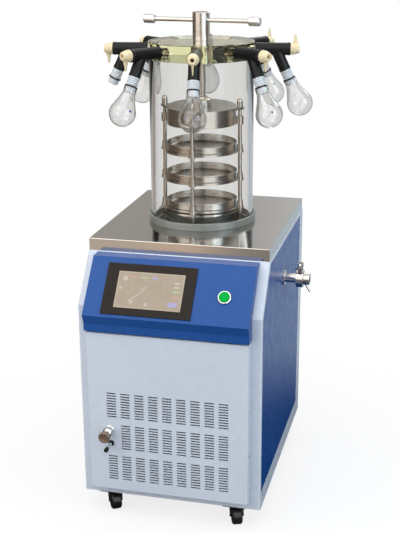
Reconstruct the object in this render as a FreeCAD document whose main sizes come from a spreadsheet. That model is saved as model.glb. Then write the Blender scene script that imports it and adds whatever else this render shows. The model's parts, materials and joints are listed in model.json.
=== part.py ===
import FreeCAD, Part
import os
import re
import Sketcher

# Bench freeze dryer: a wheeled cabinet with a refrigerated cold trap, a clear drying chamber with a
# stoppering press and a tray rack, and a lid that is also the manifold of eight rubber flask valves.
# Millimetres.  X is to the right of someone who faces the screen, the front looks along -Y, Z is up
# and the floor is Z = 0.  Pieces are laid out about the middle of the cabinet, and every node is then
# moved by origin_x and origin_y, which puts the origin under the middle of the whole object.

SIZES = {
    # clearances
    "seat_gap": 0.3, "fit": 0.05, "guide_fit": 0.08,
    # cabinet shell: heights are counted from its lower edge, borders in from its outside
    "case_width": 420, "case_depth": 550, "case_bottom": 52, "case_height": 567, "knee_rise": 463,
    "slope_run": 86, "case_sheet": 3, "edge_round": 5, "window_border": 38, "window_sill": 40,
    "window_head": 19, "deck_border": 28, "rear_border": 30,
    # blue side panels, laid in a recess of the side walls
    "recess": 2, "panel_sheet": 1.5, "panel_inset": 6, "panel_sill": 40, "panel_rear": 44,
    # front door, a shallow pan with three rows of louvre slots
    "door_margin": 24.5, "door_sill": 22.5, "door_drop": 52, "door_proud": 25, "door_sheet": 2,
    "door_round": 3, "slot_width": 21.7, "slot_height": 3.2, "slot_pitch": 6.35, "slot_count": 10,
    "block_pitch": 32.45, "block_count": 9, "row_rise": 245.5, "row_pitch": 78.5, "row_count": 3,
    # console with the screen and the power button; places on its slope are counted down it
    "console_margin": 23, "console_proud": 24, "console_slope": 143, "console_sheet": 2,
    "console_gap": 4.5, "console_band": 18, "console_lip": 4.6, "ledge": 2,
    "bezel_width": 204, "bezel_height": 120.5, "bezel_x": -44, "bezel_down": 75.25, "bezel_thick": 3,
    "screen_width": 152, "screen_height": 86, "screen_x": -42.7, "screen_down": 76,
    "glass_thick": 1.7, "glass_seat": 2, "housing_margin": 6, "housing_depth": 32,
    "button_x": 125.7, "button_down": 77.2, "ring_wall": 2.5, "ring_height": 5, "ring_floor": 1,
    "sleeve_wall": 1.95, "sleeve_depth": 25, "cap_radius": 12.2, "cap_height": 3.2, "cap_stem": 9,
    "cap_travel": 3, "cap_stem_depth": 20,
    # polished steel deck plate, an upturned tray
    "plate_lip": 28, "plate_sheet": 2, "plate_inset": 2, "plate_round": 1.5,
    # base pan and back panel
    "pan_sheet": 3, "back_margin": 15, "back_sill": 18, "back_head": 21, "back_sheet": 1.5,
    "louvre_width": 120, "louvre_height": 5, "louvre_pitch": 14, "louvre_count": 9,
    "louvre_rise": 178, "inlet_x": 130, "inlet_rise": 68, "inlet_width": 50, "inlet_height": 30,
    "inlet_flange": 3, "inlet_body_width": 27.5, "inlet_body_height": 21.5, "inlet_depth": 22,
    "socket_width": 23, "socket_height": 16, "socket_depth": 17, "pin_length": 10, "pin_pitch": 7,
    "pin_offset": 4,
    # casters
    "caster_in": 62, "caster_back": 28, "caster_trail": 10, "wheel_radius": 22, "wheel_width": 23,
    "left_front_turn": -60, "right_front_turn": -70, "left_rear_turn": -35, "right_rear_turn": -110,
    "wheel_round": 3, "wheel_rim": 14, "wheel_hub": 9, "axle_radius": 3, "caster_plate": 54,
    "caster_plate_thick": 2.5, "kingpin_radius": 5, "kingpin_head": 8, "kingpin_head_thick": 1.2,
    "crown_radius": 18, "crown_thick": 3, "leg_gap": 1.5, "leg_thick": 2.5, "leg_round": 8,
    # drying chamber: base seal, clear tube and clear lid
    "chamber_y": 40, "tube_radius": 121.7, "tube_wall": 10.2, "tube_length": 377.5, "seal_lip": 6.5,
    "seal_inward": 2.5, "seal_height": 17, "seal_floor": 5, "lid_overhang": 2, "lid_thick": 38,
    "lid_chamfer": 1.5, "bushing_wall": 2.95, "journal_wall": 3.95,
    # stoppering press
    "hub_radius": 20, "hub_height": 64, "hub_chamfer": 1.5, "collar_radius": 19, "collar_thick": 3.5,
    "screw_radius": 11, "screw_room": 1.5, "bar_radius": 5, "bar_drop": 18.3, "bar_length": 286,
    "bar_azimuth": -8.2, "knob_radius": 10.5, "knob_length": 27, "knob_bore": 15, "knob_chamfer": 2,
    "foot_radius": 23.5, "foot_height": 21, "press_sheet": 4, "drum_inset": 5, "drum_height": 35,
    "drum_wall": 2, "guide_wall": 4, "guide_height": 18, "guide_lift": 1, "tab_width": 8,
    # tray rack: it keeps rack_gap clear of the tube's inner face
    "rack_gap": 11, "rod_radius": 4.5, "rod_length": 282, "rod_above": 14, "ear_wall": 4.5,
    "nut_wall": 2.5, "nut_height": 13, "dome_height": 7, "shelf_thick": 5, "shelf_rise": 38,
    "shelf_pitch": 66, "shelf_count": 3, "bush_wall": 2.5, "bush_height": 18,
    "tray_inset": 3, "tray_height": 17, "tray_sheet": 1.2,
    # cold trap, its evaporator coil and its insulation
    "trap_gap": 0.5, "trap_wall": 2, "trap_rise": 29, "trap_depth": 207, "flange_reach": 19.5,
    "foam_wall": 36, "foam_floor": 20, "coil_radius": 3.5, "coil_pitch": 24, "coil_gap": 0.2,
    "riser_radius": 2.6,
    # flask valves
    "valve_first": -81, "valve_count": 8, "valve_drop": 18.5, "arm_length": 81,
    "arm_radius": 14.25, "arm_bore": 11, "branch_out": 47.6, "branch_tilt": 25,
    "branch_radius": 13, "branch_length": 52.5, "branch_bore": 8.5, "nipple_depth": 27.7,
    "nipple_reach": 26, "nipple_bore": 7, "gallery_in": 4, "gallery_radius": 7,
    "plug_gap": 2, "plug_length": 20.5, "plug_radius": 13.5, "plug_chamfer": 3,
    "vent_radius": 4.25, "vent_depth": 15, "handle_out": 10.7, "handle_from": 7,
    "handle_reach": 33, "handle_root": 4.5, "handle_tip": 2.4,
    "stub_length": 24, "adaptor_rib": 21, "adaptor_radius": 13, "adaptor_plug": 15.5,
    "adaptor_bore": 6,
    # flasks: lengths are counted along the branch from the arm's axis
    "neck_gap": 3, "neck_radius": 14.5, "flask_wall": 2, "bulb_radius": 30, "bulb_out": 62.5,
    "bulb_slope": 24,
    # side vacuum port with its clamped joint
    "port_y": -6.4, "port_drop": 123, "port_radius": 11, "port_bore": 9, "port_flange": 17.5,
    "port_flange_thick": 4, "joint_out": 39, "joint_radius": 18.5, "joint_thick": 3,
    "clamp_wall": 2.45, "clamp_width": 16, "lug_thick": 5, "lug_gap": 6, "lug_height": 17,
    "bolt_above": 11, "bolt_radius": 3, "bolt_length": 34, "wing_hub": 6, "wing_length": 8,
    "wing_reach": 11, "wing_thick": 3, "wing_angle": 35, "stub_radius": 14.75, "stub_out": 23,
    "stub_thick": 14, "stub_seat": 5, "stub_step": 0.55,
    "nozzle_radius": 2.5, "nozzle_length": 26, "nozzle_slope": 32,
    "nozzle_out": 5,
    # drain valve and spout on the door
    "drain_in": 50.2, "drain_rise": 154.1, "boss_radius": 12.5, "boss_length": 25,
    "gland_radius": 6, "gland_length": 8, "tail_radius": 8, "tail_length": 24, "drain_nut": 13,
    "drain_nut_thick": 6, "drain_knob_radius": 13, "drain_knob_gap": 2, "drain_knob_thick": 10,
    "drain_stem": 3, "drain_stem_depth": 20, "spout_x": 2.3, "spout_drop": 33.6,
    "spout_radius": 4, "spout_bore": 2.5, "spout_length": 40, "spout_collar": 7,
    "spout_collar_thick": 4, "spout_tip": 4.8, "spout_tip_length": 6, "spout_tail": 15,
    # refrigeration
    "compressor_x": -75, "compressor_y": 120, "compressor_radius": 72, "compressor_height": 165,
    "compressor_foot": 18, "foot_plate": 3, "foot_plate_width": 160, "foot_plate_depth": 120,
    "peg_radius": 9, "peg_in": 36, "condenser_width": 250, "condenser_height": 270,
    "condenser_depth": 40, "condenser_gap": 10, "fin_border": 15, "groove": 5, "groove_depth": 8,
    "groove_pitch": 10, "groove_count": 23, "fan_rise": 135, "fan_plate": 3, "fan_gap": 3,
    "fan_tip_gap": 6, "fan_post_in": 12, "fan_hub": 22, "fan_hub_length": 18, "fan_radius": 92,
    "fan_shaft": 4, "blade_width": 40, "blade_thick": 2, "blade_pitch": 24, "blade_count": 5,
    "motor_radius": 32, "motor_length": 40, "motor_gap": 8, "motor_arm_width": 10,
    "motor_arm_thick": 6,
}

# What follows from the sizes.
FOLLOWS = {
    "half_width": "case_width / 2",
    "front_y": "-case_depth / 2",
    "rear_y": "case_depth / 2",
    "deck_z": "case_bottom + case_height",
    "knee_z": "case_bottom + knee_rise",
    "slope_top_y": "front_y + slope_run",
    "slope": "atan((case_height - knee_rise) / slope_run)",
    "floor_z": "case_bottom + pan_sheet",
    "plate_top": "deck_z + plate_lip",
    "window_low": "case_bottom + window_sill",
    "window_half": "half_width - window_border",
    "door_half": "half_width - door_margin",
    "door_face": "front_y - door_proud",
    "door_low": "case_bottom + door_sill",
    "door_high": "knee_z - door_drop",
    "panel_face": "half_width - recess + panel_sheet",
    "console_top": "deck_z - ledge",
    "console_y": "front_y + (console_top - knee_z) / tan(slope) - console_proud / sin(slope)",
    "console_knee_y": "console_y - console_slope * cos(slope)",
    "console_knee_z": "console_top - console_slope * sin(slope)",
    "console_low": "door_high + console_gap",
    "console_lip_y": "door_face - console_lip",
    "cap_lift": "ring_floor + cap_travel + seat_gap",
    "ring_bore": "cap_radius + seat_gap",
    "sleeve_radius": "cap_stem + fit + sleeve_wall",
    "caster_x": "half_width - caster_in",
    "caster_y": "rear_y - caster_back",
    "axle_z": "wheel_radius",
    "crown_top": "case_bottom - caster_plate_thick - seat_gap",
    "row_top": "door_low + row_rise",
    "ring_radius": "ring_bore + ring_wall",
    "louvre_low": "case_bottom + louvre_rise",
    "inlet_z": "case_bottom + inlet_rise",
    "seal_top": "plate_top + seal_floor",
    "seal_radius": "tube_radius + seat_gap + seal_lip",
    "seal_inner": "tube_bore - seal_inward",
    "tube_bore": "tube_radius - tube_wall",
    "tube_top": "seal_top + tube_length",
    "lid_radius": "tube_radius + lid_overhang",
    "lid_top": "tube_top + lid_thick",
    "screw_bore": "screw_radius + fit",
    "journal": "screw_bore + journal_wall",
    "bushing_radius": "journal + fit + bushing_wall",
    "hub_low": "lid_top + seat_gap",
    "hub_top": "hub_low + hub_height",
    "bar_z": "hub_top - bar_drop",
    "screw_top": "bar_z - bar_radius - screw_room",
    "ear_radius": "rod_radius + ear_wall",
    "guide_radius": "rod_radius + guide_wall",
    "nut_radius": "rod_radius + nut_wall",
    "bush_radius": "rod_radius + bush_wall",
    "rod_circle": "tube_bore - rack_gap - ear_radius",
    "rod_top": "plate_top + rod_length",
    "press_top": "rod_top - rod_above",
    "drum_low": "press_top - press_sheet - drum_height",
    "shelf_radius": "rod_circle - rod_radius",
    "tray_radius": "shelf_radius - tray_inset",
    "drum_radius": "shelf_radius - drum_inset",
    "trap_radius": "shelf_radius - trap_gap",
    "trap_flange": "trap_radius + flange_reach",
    "trap_top": "plate_top + trap_rise",
    "trap_low": "plate_top - trap_depth",
    "plate_under": "plate_top - plate_sheet",
    "foam_low": "trap_low - foam_floor",
    "foam_bore": "trap_radius + 2 * coil_radius + coil_gap + seat_gap",
    "foam_radius": "foam_bore + foam_wall",
    "valve_z": "lid_top - valve_drop",
    "arm_start": "lid_radius + seat_gap",
    "arm_end": "arm_start + arm_length",
    "arm_hole": "arm_bore + fit",
    "nipple_start": "lid_radius - nipple_depth",
    "nipple_end": "arm_start + nipple_reach",
    "gallery_at": "nipple_start - gallery_in",
    "plug_start": "nipple_end + plug_gap",
    "vent_start": "arm_end - vent_depth",
    "branch_at": "arm_start + branch_out",
    "plug_head": "arm_end + seat_gap",
    "plug_tip": "plug_head + plug_length",
    "handle_at": "plug_head + handle_out",
    "rib_end": "branch_length + adaptor_rib",
    "neck_bore": "neck_radius - flask_wall",
    "adaptor_end": "rib_end + adaptor_plug",
    "neck_from": "rib_end + neck_gap",
    "bulb_at": "rib_end + bulb_out",
    "port_z": "plate_top - port_drop",
    "joint_x": "half_width + joint_out",
    "clamp_bore": "joint_radius + fit",
    "clamp_radius": "clamp_bore + clamp_wall",
    "bolt_up": "clamp_radius + bolt_above",
    "stub_end": "joint_x + stub_out",
    "nozzle_x": "joint_x + nozzle_out",
    "drain_x": "drain_in - door_half",
    "drain_z": "door_low + drain_rise",
    "spout_z": "drain_z - spout_drop",
    "drain_knob_low": "boss_length + gland_length + drain_knob_gap",
    "drain_knob_high": "drain_knob_low + drain_knob_thick",
    "condenser_y": "front_y + case_sheet + condenser_gap",
    "fan_y": "condenser_y + condenser_depth",
    "fan_z": "floor_z + fan_rise",
    "fan_low": "fan_plate + fan_gap",
    "post_circle": "condenser_width / 2 - motor_arm_width / 2 - fan_post_in",
    "motor_back": "fan_low + fan_hub_length + motor_gap",
    # the object's furthest points to the right, left, back and front of the cabinet's middle
    "nozzle_reach": "(port_radius + nozzle_length) * sin(nozzle_slope) + nozzle_radius *"
        " cos(nozzle_slope)",
    "reach_right": "nozzle_x + nozzle_reach",
    "reach_left": "plug_tip * cos(valve_first + 90) + (plug_radius - plug_chamfer) *"
        " sin(valve_first + 90)",
    "bulb_reach": "(branch_at + bulb_at * sin(branch_tilt)) * cos(valve_first + 90) + bulb_radius",
    "reach_back": "chamber_y + bulb_reach",
    "reach_front": "drain_knob_high - door_face",
    "origin_x": "(reach_left - reach_right) / 2",
    "origin_y": "(reach_front - reach_back) / 2",
}

document = FreeCAD.newDocument("FreezeDryer")
sheet = document.addObject("Spreadsheet::Sheet", "Sizes")
for row, (name, size) in enumerate(SIZES.items(), 1):
    sheet.set(f"A{row}", name)
    sheet.set(f"B{row}", str(size))
    sheet.setAlias(f"B{row}", name)
document.recompute()
nodes = []


# ---- expressions and places --------------------------------------------------------------------
def full(text):
    """The same expression with each name spelled out as sizes read from the sheet."""
    def spelled(word):
        name = word.group()
        if name in FOLLOWS:
            return f"({full(FOLLOWS[name])})"
        return f"Sizes.{name}" if name in SIZES else name
    return re.sub(r"[a-z_]+", spelled, str(text))


probe = document.addObject("App::FeaturePython", "Probe")
probe.addProperty("App::PropertyFloat", "Result")


def number(text):
    """The present value of an expression."""
    probe.setExpression("Result", full(text))
    probe.recompute()
    return probe.Result


def shift(x, y, z):
    return f"placement(vector({x}; {y}; {z}); rotation(vector(0; 0; 1); 0))"


def turn(axis, angle):
    vector = {"X": "1; 0; 0", "Y": "0; 1; 0", "Z": "0; 0; 1"}[axis]
    return f"placement(vector(0; 0; 0); rotation(vector({vector}); {angle}))"


HOME = shift("origin_x", "origin_y", 0)
CHAMBER = shift(0, "chamber_y", 0)
# the console's sloping face: X across, Y up the slope, Z out of the face, from its top edge
SLOPE = shift(0, "console_y", "console_top") + " * " + turn("X", "slope")


def place(piece, *steps):
    piece.setExpression("Placement", full(" * ".join(steps)))
    return piece


def node(piece, name, *steps):
    """Keeps a piece as the node of that name, placed from the object's own origin."""
    piece.Label = name
    place(piece, HOME, *steps)
    nodes.append(piece)
    return piece


def joined(name, pieces, *steps):
    """One node of several separate solids."""
    group = document.addObject("Part::Compound", name)
    group.Links = pieces
    return node(group, name, *steps)


# ---- bodies, sketches and features ---------------------------------------------------------------
def body(name):
    return document.addObject("PartDesign::Body", name)


def bind(feature, **sizes):
    for key, text in sizes.items():
        feature.setExpression(key, full(text))
    return feature


def outline(owner, role, points):
    """A closed outline on one of the body's own planes, each corner held at its place."""
    sketch = owner.newObject("Sketcher::SketchObject", "Outline")
    plane = [item for item in owner.Origin.OriginFeatures if item.Role == role][0]
    sketch.AttachmentSupport = [(plane, "")]
    sketch.MapMode = "FlatFace"
    corners = [FreeCAD.Vector(number(across), number(up), 0) for across, up in points]
    for index, corner in enumerate(corners):
        following = corners[(index + 1) % len(corners)]
        sketch.addGeometry(Part.LineSegment(corner, following), False)
    for index, corner in enumerate(corners):
        following = (index + 1) % len(corners)
        sketch.addConstraint(Sketcher.Constraint("Coincident", index, 2, following, 1))
        across = sketch.addConstraint(Sketcher.Constraint("DistanceX", -1, 1, index, 1, corner.x))
        up = sketch.addConstraint(Sketcher.Constraint("DistanceY", -1, 1, index, 1, corner.y))
        sketch.setExpression(f"Constraints[{across}]", full(points[index][0]))
        sketch.setExpression(f"Constraints[{up}]", full(points[index][1]))
    return sketch


def prism(owner, role, points, length):
    """An outline padded by the same amount to both sides of its plane."""
    pad = owner.newObject("PartDesign::Pad", "Pad")
    pad.Profile = outline(owner, role, points)
    pad.SideType = "Symmetric"
    return bind(pad, Length=length)


def turned(name, points, role="XZ_Plane", axis="V_Axis"):
    """A piece turned from an outline of radius and height."""
    owner = body(name)
    revolution = owner.newObject("PartDesign::Revolution", "Turned")
    sketch = outline(owner, role, points)
    revolution.Profile = sketch
    revolution.ReferenceAxis = (sketch, [axis])
    revolution.Angle = 360
    return owner


def box(owner, kind, low, high):
    """A box added to or cut from a body, between two corners."""
    feature = owner.newObject(f"PartDesign::{kind}Box", "Block")
    names = ("Length", "Width", "Height")
    for key, start, end in zip(names, low, high):
        bind(feature, **{key: f"({end}) - ({start})"})
    place(feature, shift(*low))
    return feature


def cylinder(owner, kind, radius, length, *steps):
    """A cylinder added to or cut from a body, from the origin of its own place along its Z."""
    feature = owner.newObject(f"PartDesign::{kind}Cylinder", "Round")
    bind(feature, Radius=radius, Height=length)
    if steps:
        place(feature, *steps)
    return feature


def hollowed(owner, wall, directions):
    """Turns the body's solid into sheet, open where its faces look along the given directions."""
    document.recompute()
    base = owner.Tip
    open_faces = []
    for index, face in enumerate(base.Shape.Faces, 1):
        if any(face.normalAt(0, 0).dot(FreeCAD.Vector(*way)) > 0.999 for way in directions):
            open_faces.append(f"Face{index}")
    shell = owner.newObject("PartDesign::Thickness", "Sheet")
    shell.Base = (base, open_faces)
    shell.Reversed = True
    shell.Join = 1
    return bind(shell, Value=wall)


def softened(owner, radius, wanted, kind="Fillet"):
    """Rounds the edges that the test picks."""
    document.recompute()
    base = owner.Tip
    edges = [f"Edge{index}" for index, edge in enumerate(base.Shape.Edges, 1) if wanted(edge)]
    feature = owner.newObject(f"PartDesign::{kind}", kind)
    feature.Base = (base, edges)
    return bind(feature, **{"Radius" if kind == "Fillet" else "Size": radius})


def near(value, text):
    return abs(value - number(text)) < 0.01


# ---- cabinet -------------------------------------------------------------------------------------
def side_outline(inset):
    """The side panel's outline, in from the shell's front edge by panel_inset and then by inset."""
    step = f"(panel_inset + {inset})"
    front = f"(front_y + {step})"
    # where the line parallel to the slope meets the front line and the top line
    knee = f"(knee_z - {step} / sin(slope) * (1 - cos(slope)))"
    top = f"(deck_z - {step})"
    top_front = f"({front} + ({top} - {knee}) / tan(slope))"
    low = f"(case_bottom + panel_sill + {inset})"
    rear = f"(rear_y - panel_rear - {inset})"
    return [(front, low), (rear, low), (rear, top), (top_front, top), (front, knee)]


def cabinet_frame():
    """Folded sheet shell with its windows, its side recesses and the hole for the vacuum port."""
    shell = body("Frame")
    profile = [("front_y", "case_bottom"), ("rear_y", "case_bottom"), ("rear_y", "deck_z"),
               ("slope_top_y", "deck_z"), ("front_y", "knee_z")]
    prism(shell, "YZ_Plane", profile, "case_width")
    hollowed(shell, "case_sheet", [(0, 0, -1)])
    box(shell, "Subtractive", ("-window_half", "front_y - 1", "window_low"),
        ("window_half", "slope_top_y + case_sheet", "deck_z - window_head"))
    box(shell, "Subtractive", ("-half_width + rear_border", "rear_y - case_sheet - 1",
                               "window_low"),
        ("half_width - rear_border", "rear_y + 1", "deck_z - rear_border"))
    box(shell, "Subtractive", ("-half_width + deck_border", "slope_top_y + deck_border",
                               "deck_z - case_sheet - 1"),
        ("half_width - deck_border", "rear_y - deck_border", "deck_z + 1"))
    for side in (1, -1):
        cut = shell.newObject("PartDesign::Pocket", "Recess")
        sketch = outline(shell, "YZ_Plane", side_outline("0"))
        bind(sketch, **{"AttachmentOffset.Base.z": f"{side} * (half_width - recess)"})
        cut.Profile = sketch
        cut.Reversed = side == 1
        bind(cut, Length="recess + 1")
    cylinder(shell, "Subtractive", "port_radius + seat_gap", "case_sheet + 2",
             shift("half_width - case_sheet - 1", "port_y", "port_z"), turn("Y", 90))

    def outer_front(edge):
        middle = edge.CenterOfMass
        low = min(vertex.Point.z for vertex in edge.Vertexes)
        return (near(abs(middle.x), "half_width") and middle.y < number("slope_top_y") - 1
                and middle.z > number("case_bottom") + 1 and edge.Length > number("knee_z") / 5
                and low > number("case_bottom") - 1 and near_front(edge))

    def near_front(edge):
        ends = [vertex.Point for vertex in edge.Vertexes]
        upright = all(near(point.y, "front_y") for point in ends)
        sloping = all(abs(sloped(point)) < 0.01 for point in ends)
        return upright or sloping

    def sloped(point):
        run = point.y - number("front_y")
        return point.z - number("knee_z") - run * number("tan(slope)")

    softened(shell, "edge_round", outer_front)
    return node(shell, "cabinet_frame")


def side_panels():
    """Two painted sheets, each lying in the recess of its wall."""
    sheets = []
    for side in (-1, 1):
        panel = body("SidePanel")
        pad = prism(panel, "YZ_Plane", side_outline("seat_gap"), "panel_sheet")
        middle = f"{side} * (half_width - recess + panel_sheet / 2)"
        bind(pad.Profile[0], **{"AttachmentOffset.Base.z": middle})
        if side == 1:
            cylinder(panel, "Subtractive", "port_radius + seat_gap", "recess + 2",
                     shift("half_width - recess - 1", "port_y", "port_z"), turn("Y", 90))
        sheets.append(panel)
    return joined("side_panels", sheets)


def front_panel():
    """Door pan that stands on the shell's front, with its louvre slots and the drain's two holes."""
    door = body("Door")
    box(door, "Additive", ("-door_half", "door_face", "door_low"),
        ("door_half", "front_y", "door_high"))
    hollowed(door, "door_sheet", [(0, 1, 0)])
    softened(door, "door_round", lambda edge: near(edge.CenterOfMass.y, "door_face"))
    # the middle row leaves out its first block, where the drain valve stands
    for row in range(SIZES["row_count"]):
        missing = 1 if row == 1 else 0
        columns = f"(block_count - {missing})"
        start = f"({missing} * block_pitch - block_pitch * (block_count - 1) / 2)"
        top = f"(row_top - {row} * row_pitch)"
        corner = (f"{start} - slot_width / 2", "door_face - 1", f"{top} - slot_height")
        slot = box(door, "Subtractive", corner,
                   (f"{start} + slot_width / 2", "door_face + door_sheet + 1", top))
        comb = door.newObject("PartDesign::LinearPattern", "Louvres")
        comb.Refine = False
        comb.Originals = [slot]
        across = [item for item in door.Origin.OriginFeatures if item.Role == "X_Axis"][0]
        upward = [item for item in door.Origin.OriginFeatures if item.Role == "Z_Axis"][0]
        comb.Direction = (across, [""])
        comb.Direction2 = (upward, [""])
        comb.Reversed2 = True
        bind(comb, Length=f"block_pitch * ({columns} - 1)", Occurrences=columns,
             Length2="slot_pitch * (slot_count - 1)", Occurrences2="slot_count")
        door.Tip = comb
    holes = (("drain_x", "drain_z", "tail_radius"), ("drain_x + spout_x", "spout_z", "spout_radius"))
    for x, z, radius in holes:
        cylinder(door, "Subtractive", f"{radius} + seat_gap", "door_sheet + 2",
                 shift(x, "door_face - 1", z), turn("X", -90))
    return node(door, "front_panel")


def console():
    """Sloping console box, open to the cabinet, with the screen's cutout and the button's hole."""
    shell = body("Console")
    corners = [("console_y", "console_top"), ("console_knee_y", "console_knee_z"),
               ("console_lip_y", "console_low + console_band"), ("console_lip_y", "console_low"),
               ("front_y", "console_low"), ("front_y", "knee_z"),
               ("(front_y + (console_top - knee_z) / tan(slope))", "console_top")]
    prism(shell, "YZ_Plane", corners, "case_width - 2 * console_margin")
    angle = number("slope")
    inward = FreeCAD.Rotation(FreeCAD.Vector(1, 0, 0), angle).multVec(FreeCAD.Vector(0, 0, -1))
    hollowed(shell, "console_sheet", [(0, 1, 0), tuple(inward)])
    half = "(bezel_width / 2 - housing_margin + seat_gap)"
    tall = "(bezel_height / 2 - housing_margin + seat_gap)"
    cutout = shell.newObject("PartDesign::SubtractiveBox", "Cutout")
    bind(cutout, Length=f"2 * {half}", Width=f"2 * {tall}", Height="console_sheet + 2")
    place(cutout, SLOPE, shift(f"bezel_x - {half}", f"-bezel_down - {tall}", "-console_sheet - 1"))
    cylinder(shell, "Subtractive", "sleeve_radius + seat_gap", "console_sheet + 2", SLOPE,
             shift("button_x", "-button_down", "-console_sheet - 1"))
    return node(shell, "console")


def screen():
    """Touch panel: the bezel with its housing behind the sheet, and the glass in its recess."""
    bezel = body("Bezel")
    box(bezel, "Additive", ("-bezel_width / 2", "-bezel_height / 2", "0"),
        ("bezel_width / 2", "bezel_height / 2", "bezel_thick"))
    half = "(bezel_width / 2 - housing_margin)"
    tall = "(bezel_height / 2 - housing_margin)"
    box(bezel, "Additive", (f"-{half}", f"-{tall}", "-housing_depth"), (half, tall, "0"))
    x = "(screen_x - bezel_x)"
    y = "(bezel_down - screen_down)"
    box(bezel, "Subtractive", (f"{x} - screen_width / 2", f"{y} - screen_height / 2",
                               "bezel_thick - glass_seat"),
        (f"{x} + screen_width / 2", f"{y} + screen_height / 2", "bezel_thick + 1"))
    node(bezel, "screen_bezel", SLOPE, shift("bezel_x", "-bezel_down", 0))
    glass = body("Glass")
    half = "(screen_width / 2 - fit)"
    tall = "(screen_height / 2 - fit)"
    box(glass, "Additive", (f"-{half}", f"-{tall}", "0"), (half, tall, "glass_thick"))
    node(glass, "screen_glass", SLOPE, shift("screen_x", "-screen_down", "bezel_thick - glass_seat"))


def power_button():
    """Bezel ring with its sleeve through the console, and the cap that is pushed into it."""
    stem_bore = "cap_stem + fit"
    ring = turned("Ring", [(stem_bore, "-sleeve_depth"), ("sleeve_radius", "-sleeve_depth"),
                           ("sleeve_radius", 0), ("ring_radius", 0),
                           ("ring_radius", "ring_height - 1"), ("ring_radius - 1", "ring_height"),
                           ("ring_bore", "ring_height"), ("ring_bore", "ring_floor"),
                           (stem_bore, "ring_floor")])
    node(ring, "button_ring", SLOPE, shift("button_x", "-button_down", 0))
    cap = turned("Cap", [(0, "-cap_stem_depth"), ("cap_stem", "-cap_stem_depth"),
                         ("cap_stem", "cap_lift"), ("cap_radius", "cap_lift"),
                         ("cap_radius", "cap_lift + cap_height - 1"),
                         ("cap_radius - 1", "cap_lift + cap_height"), (0, "cap_lift + cap_height")])
    node(cap, "button_cap", SLOPE, shift("button_x", "-button_down", 0))


def top_plate():
    """Polished deck plate with folded lips, open round the cold trap's neck."""
    plate = body("Plate")
    reach = "(half_width - plate_inset)"
    box(plate, "Additive", (f"-{reach}", "slope_top_y", "deck_z"), (reach, "rear_y", "plate_top"))
    hollowed(plate, "plate_sheet", [(0, 0, -1)])
    cylinder(plate, "Subtractive", "trap_radius + seat_gap", "plate_sheet + 2",
             shift(0, "chamber_y", "plate_top - plate_sheet - 1"))

    def rim(edge):
        straight = len(edge.Vertexes) == 2
        return straight and all(near(vertex.Z, "plate_top") for vertex in edge.Vertexes)

    softened(plate, "plate_round", rim)
    return node(plate, "top_plate")


def base_and_back():
    """Floor pan between the walls, and the louvred back panel with the cut for the power inlet."""
    pan = body("Pan")
    wide = "(half_width - case_sheet)"
    deep = "(rear_y - case_sheet)"
    box(pan, "Additive", (f"-{wide}", f"-{deep}", "case_bottom"),
        (wide, deep, "case_bottom + pan_sheet"))
    node(pan, "base_pan")
    back = body("Back")
    reach = "(half_width - back_margin)"
    box(back, "Additive", (f"-{reach}", "rear_y", "case_bottom + back_sill"),
        (reach, "rear_y + back_sheet", "deck_z - back_head"))
    slot = box(back, "Subtractive", ("-louvre_width / 2", "rear_y - 1", "louvre_low"),
               ("louvre_width / 2", "rear_y + back_sheet + 1", "louvre_low + louvre_height"))
    comb = back.newObject("PartDesign::LinearPattern", "Louvres")
    comb.Originals = [slot]
    upward = [item for item in back.Origin.OriginFeatures if item.Role == "Z_Axis"][0]
    comb.Direction = (upward, [""])
    bind(comb, Length="louvre_pitch * (louvre_count - 1)", Occurrences="louvre_count")
    back.Tip = comb
    wide = "(inlet_body_width / 2 + seat_gap)"
    tall = "(inlet_body_height / 2 + seat_gap)"
    box(back, "Subtractive", (f"inlet_x - {wide}", "rear_y - 1", f"inlet_z - {tall}"),
        (f"inlet_x + {wide}", "rear_y + back_sheet + 1", f"inlet_z + {tall}"))
    node(back, "back_panel")


def power_inlet():
    """Flanged mains inlet with three pins in its socket."""
    inlet = body("Inlet")
    face = "(rear_y + back_sheet)"
    box(inlet, "Additive", ("-inlet_width / 2", "0", "-inlet_height / 2"),
        ("inlet_width / 2", "inlet_flange", "inlet_height / 2"))
    box(inlet, "Additive", ("-inlet_body_width / 2", "-inlet_depth", "-inlet_body_height / 2"),
        ("inlet_body_width / 2", 0, "inlet_body_height / 2"))
    box(inlet, "Subtractive", ("-socket_width / 2", "inlet_flange - socket_depth",
                               "-socket_height / 2"),
        ("socket_width / 2", "inlet_flange + 1", "socket_height / 2"))
    for side in (-1, 0, 1):
        x = f"{side} * pin_pitch"
        z = "pin_offset / 2" if side == 0 else "-pin_offset / 2"
        box(inlet, "Additive", (f"{x} - 1", "inlet_flange - socket_depth", f"{z} - 2"),
            (f"{x} + 1", "inlet_flange - socket_depth + pin_length", f"{z} + 2"))
    node(inlet, "power_inlet", shift("inlet_x", face, "inlet_z"))


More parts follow.
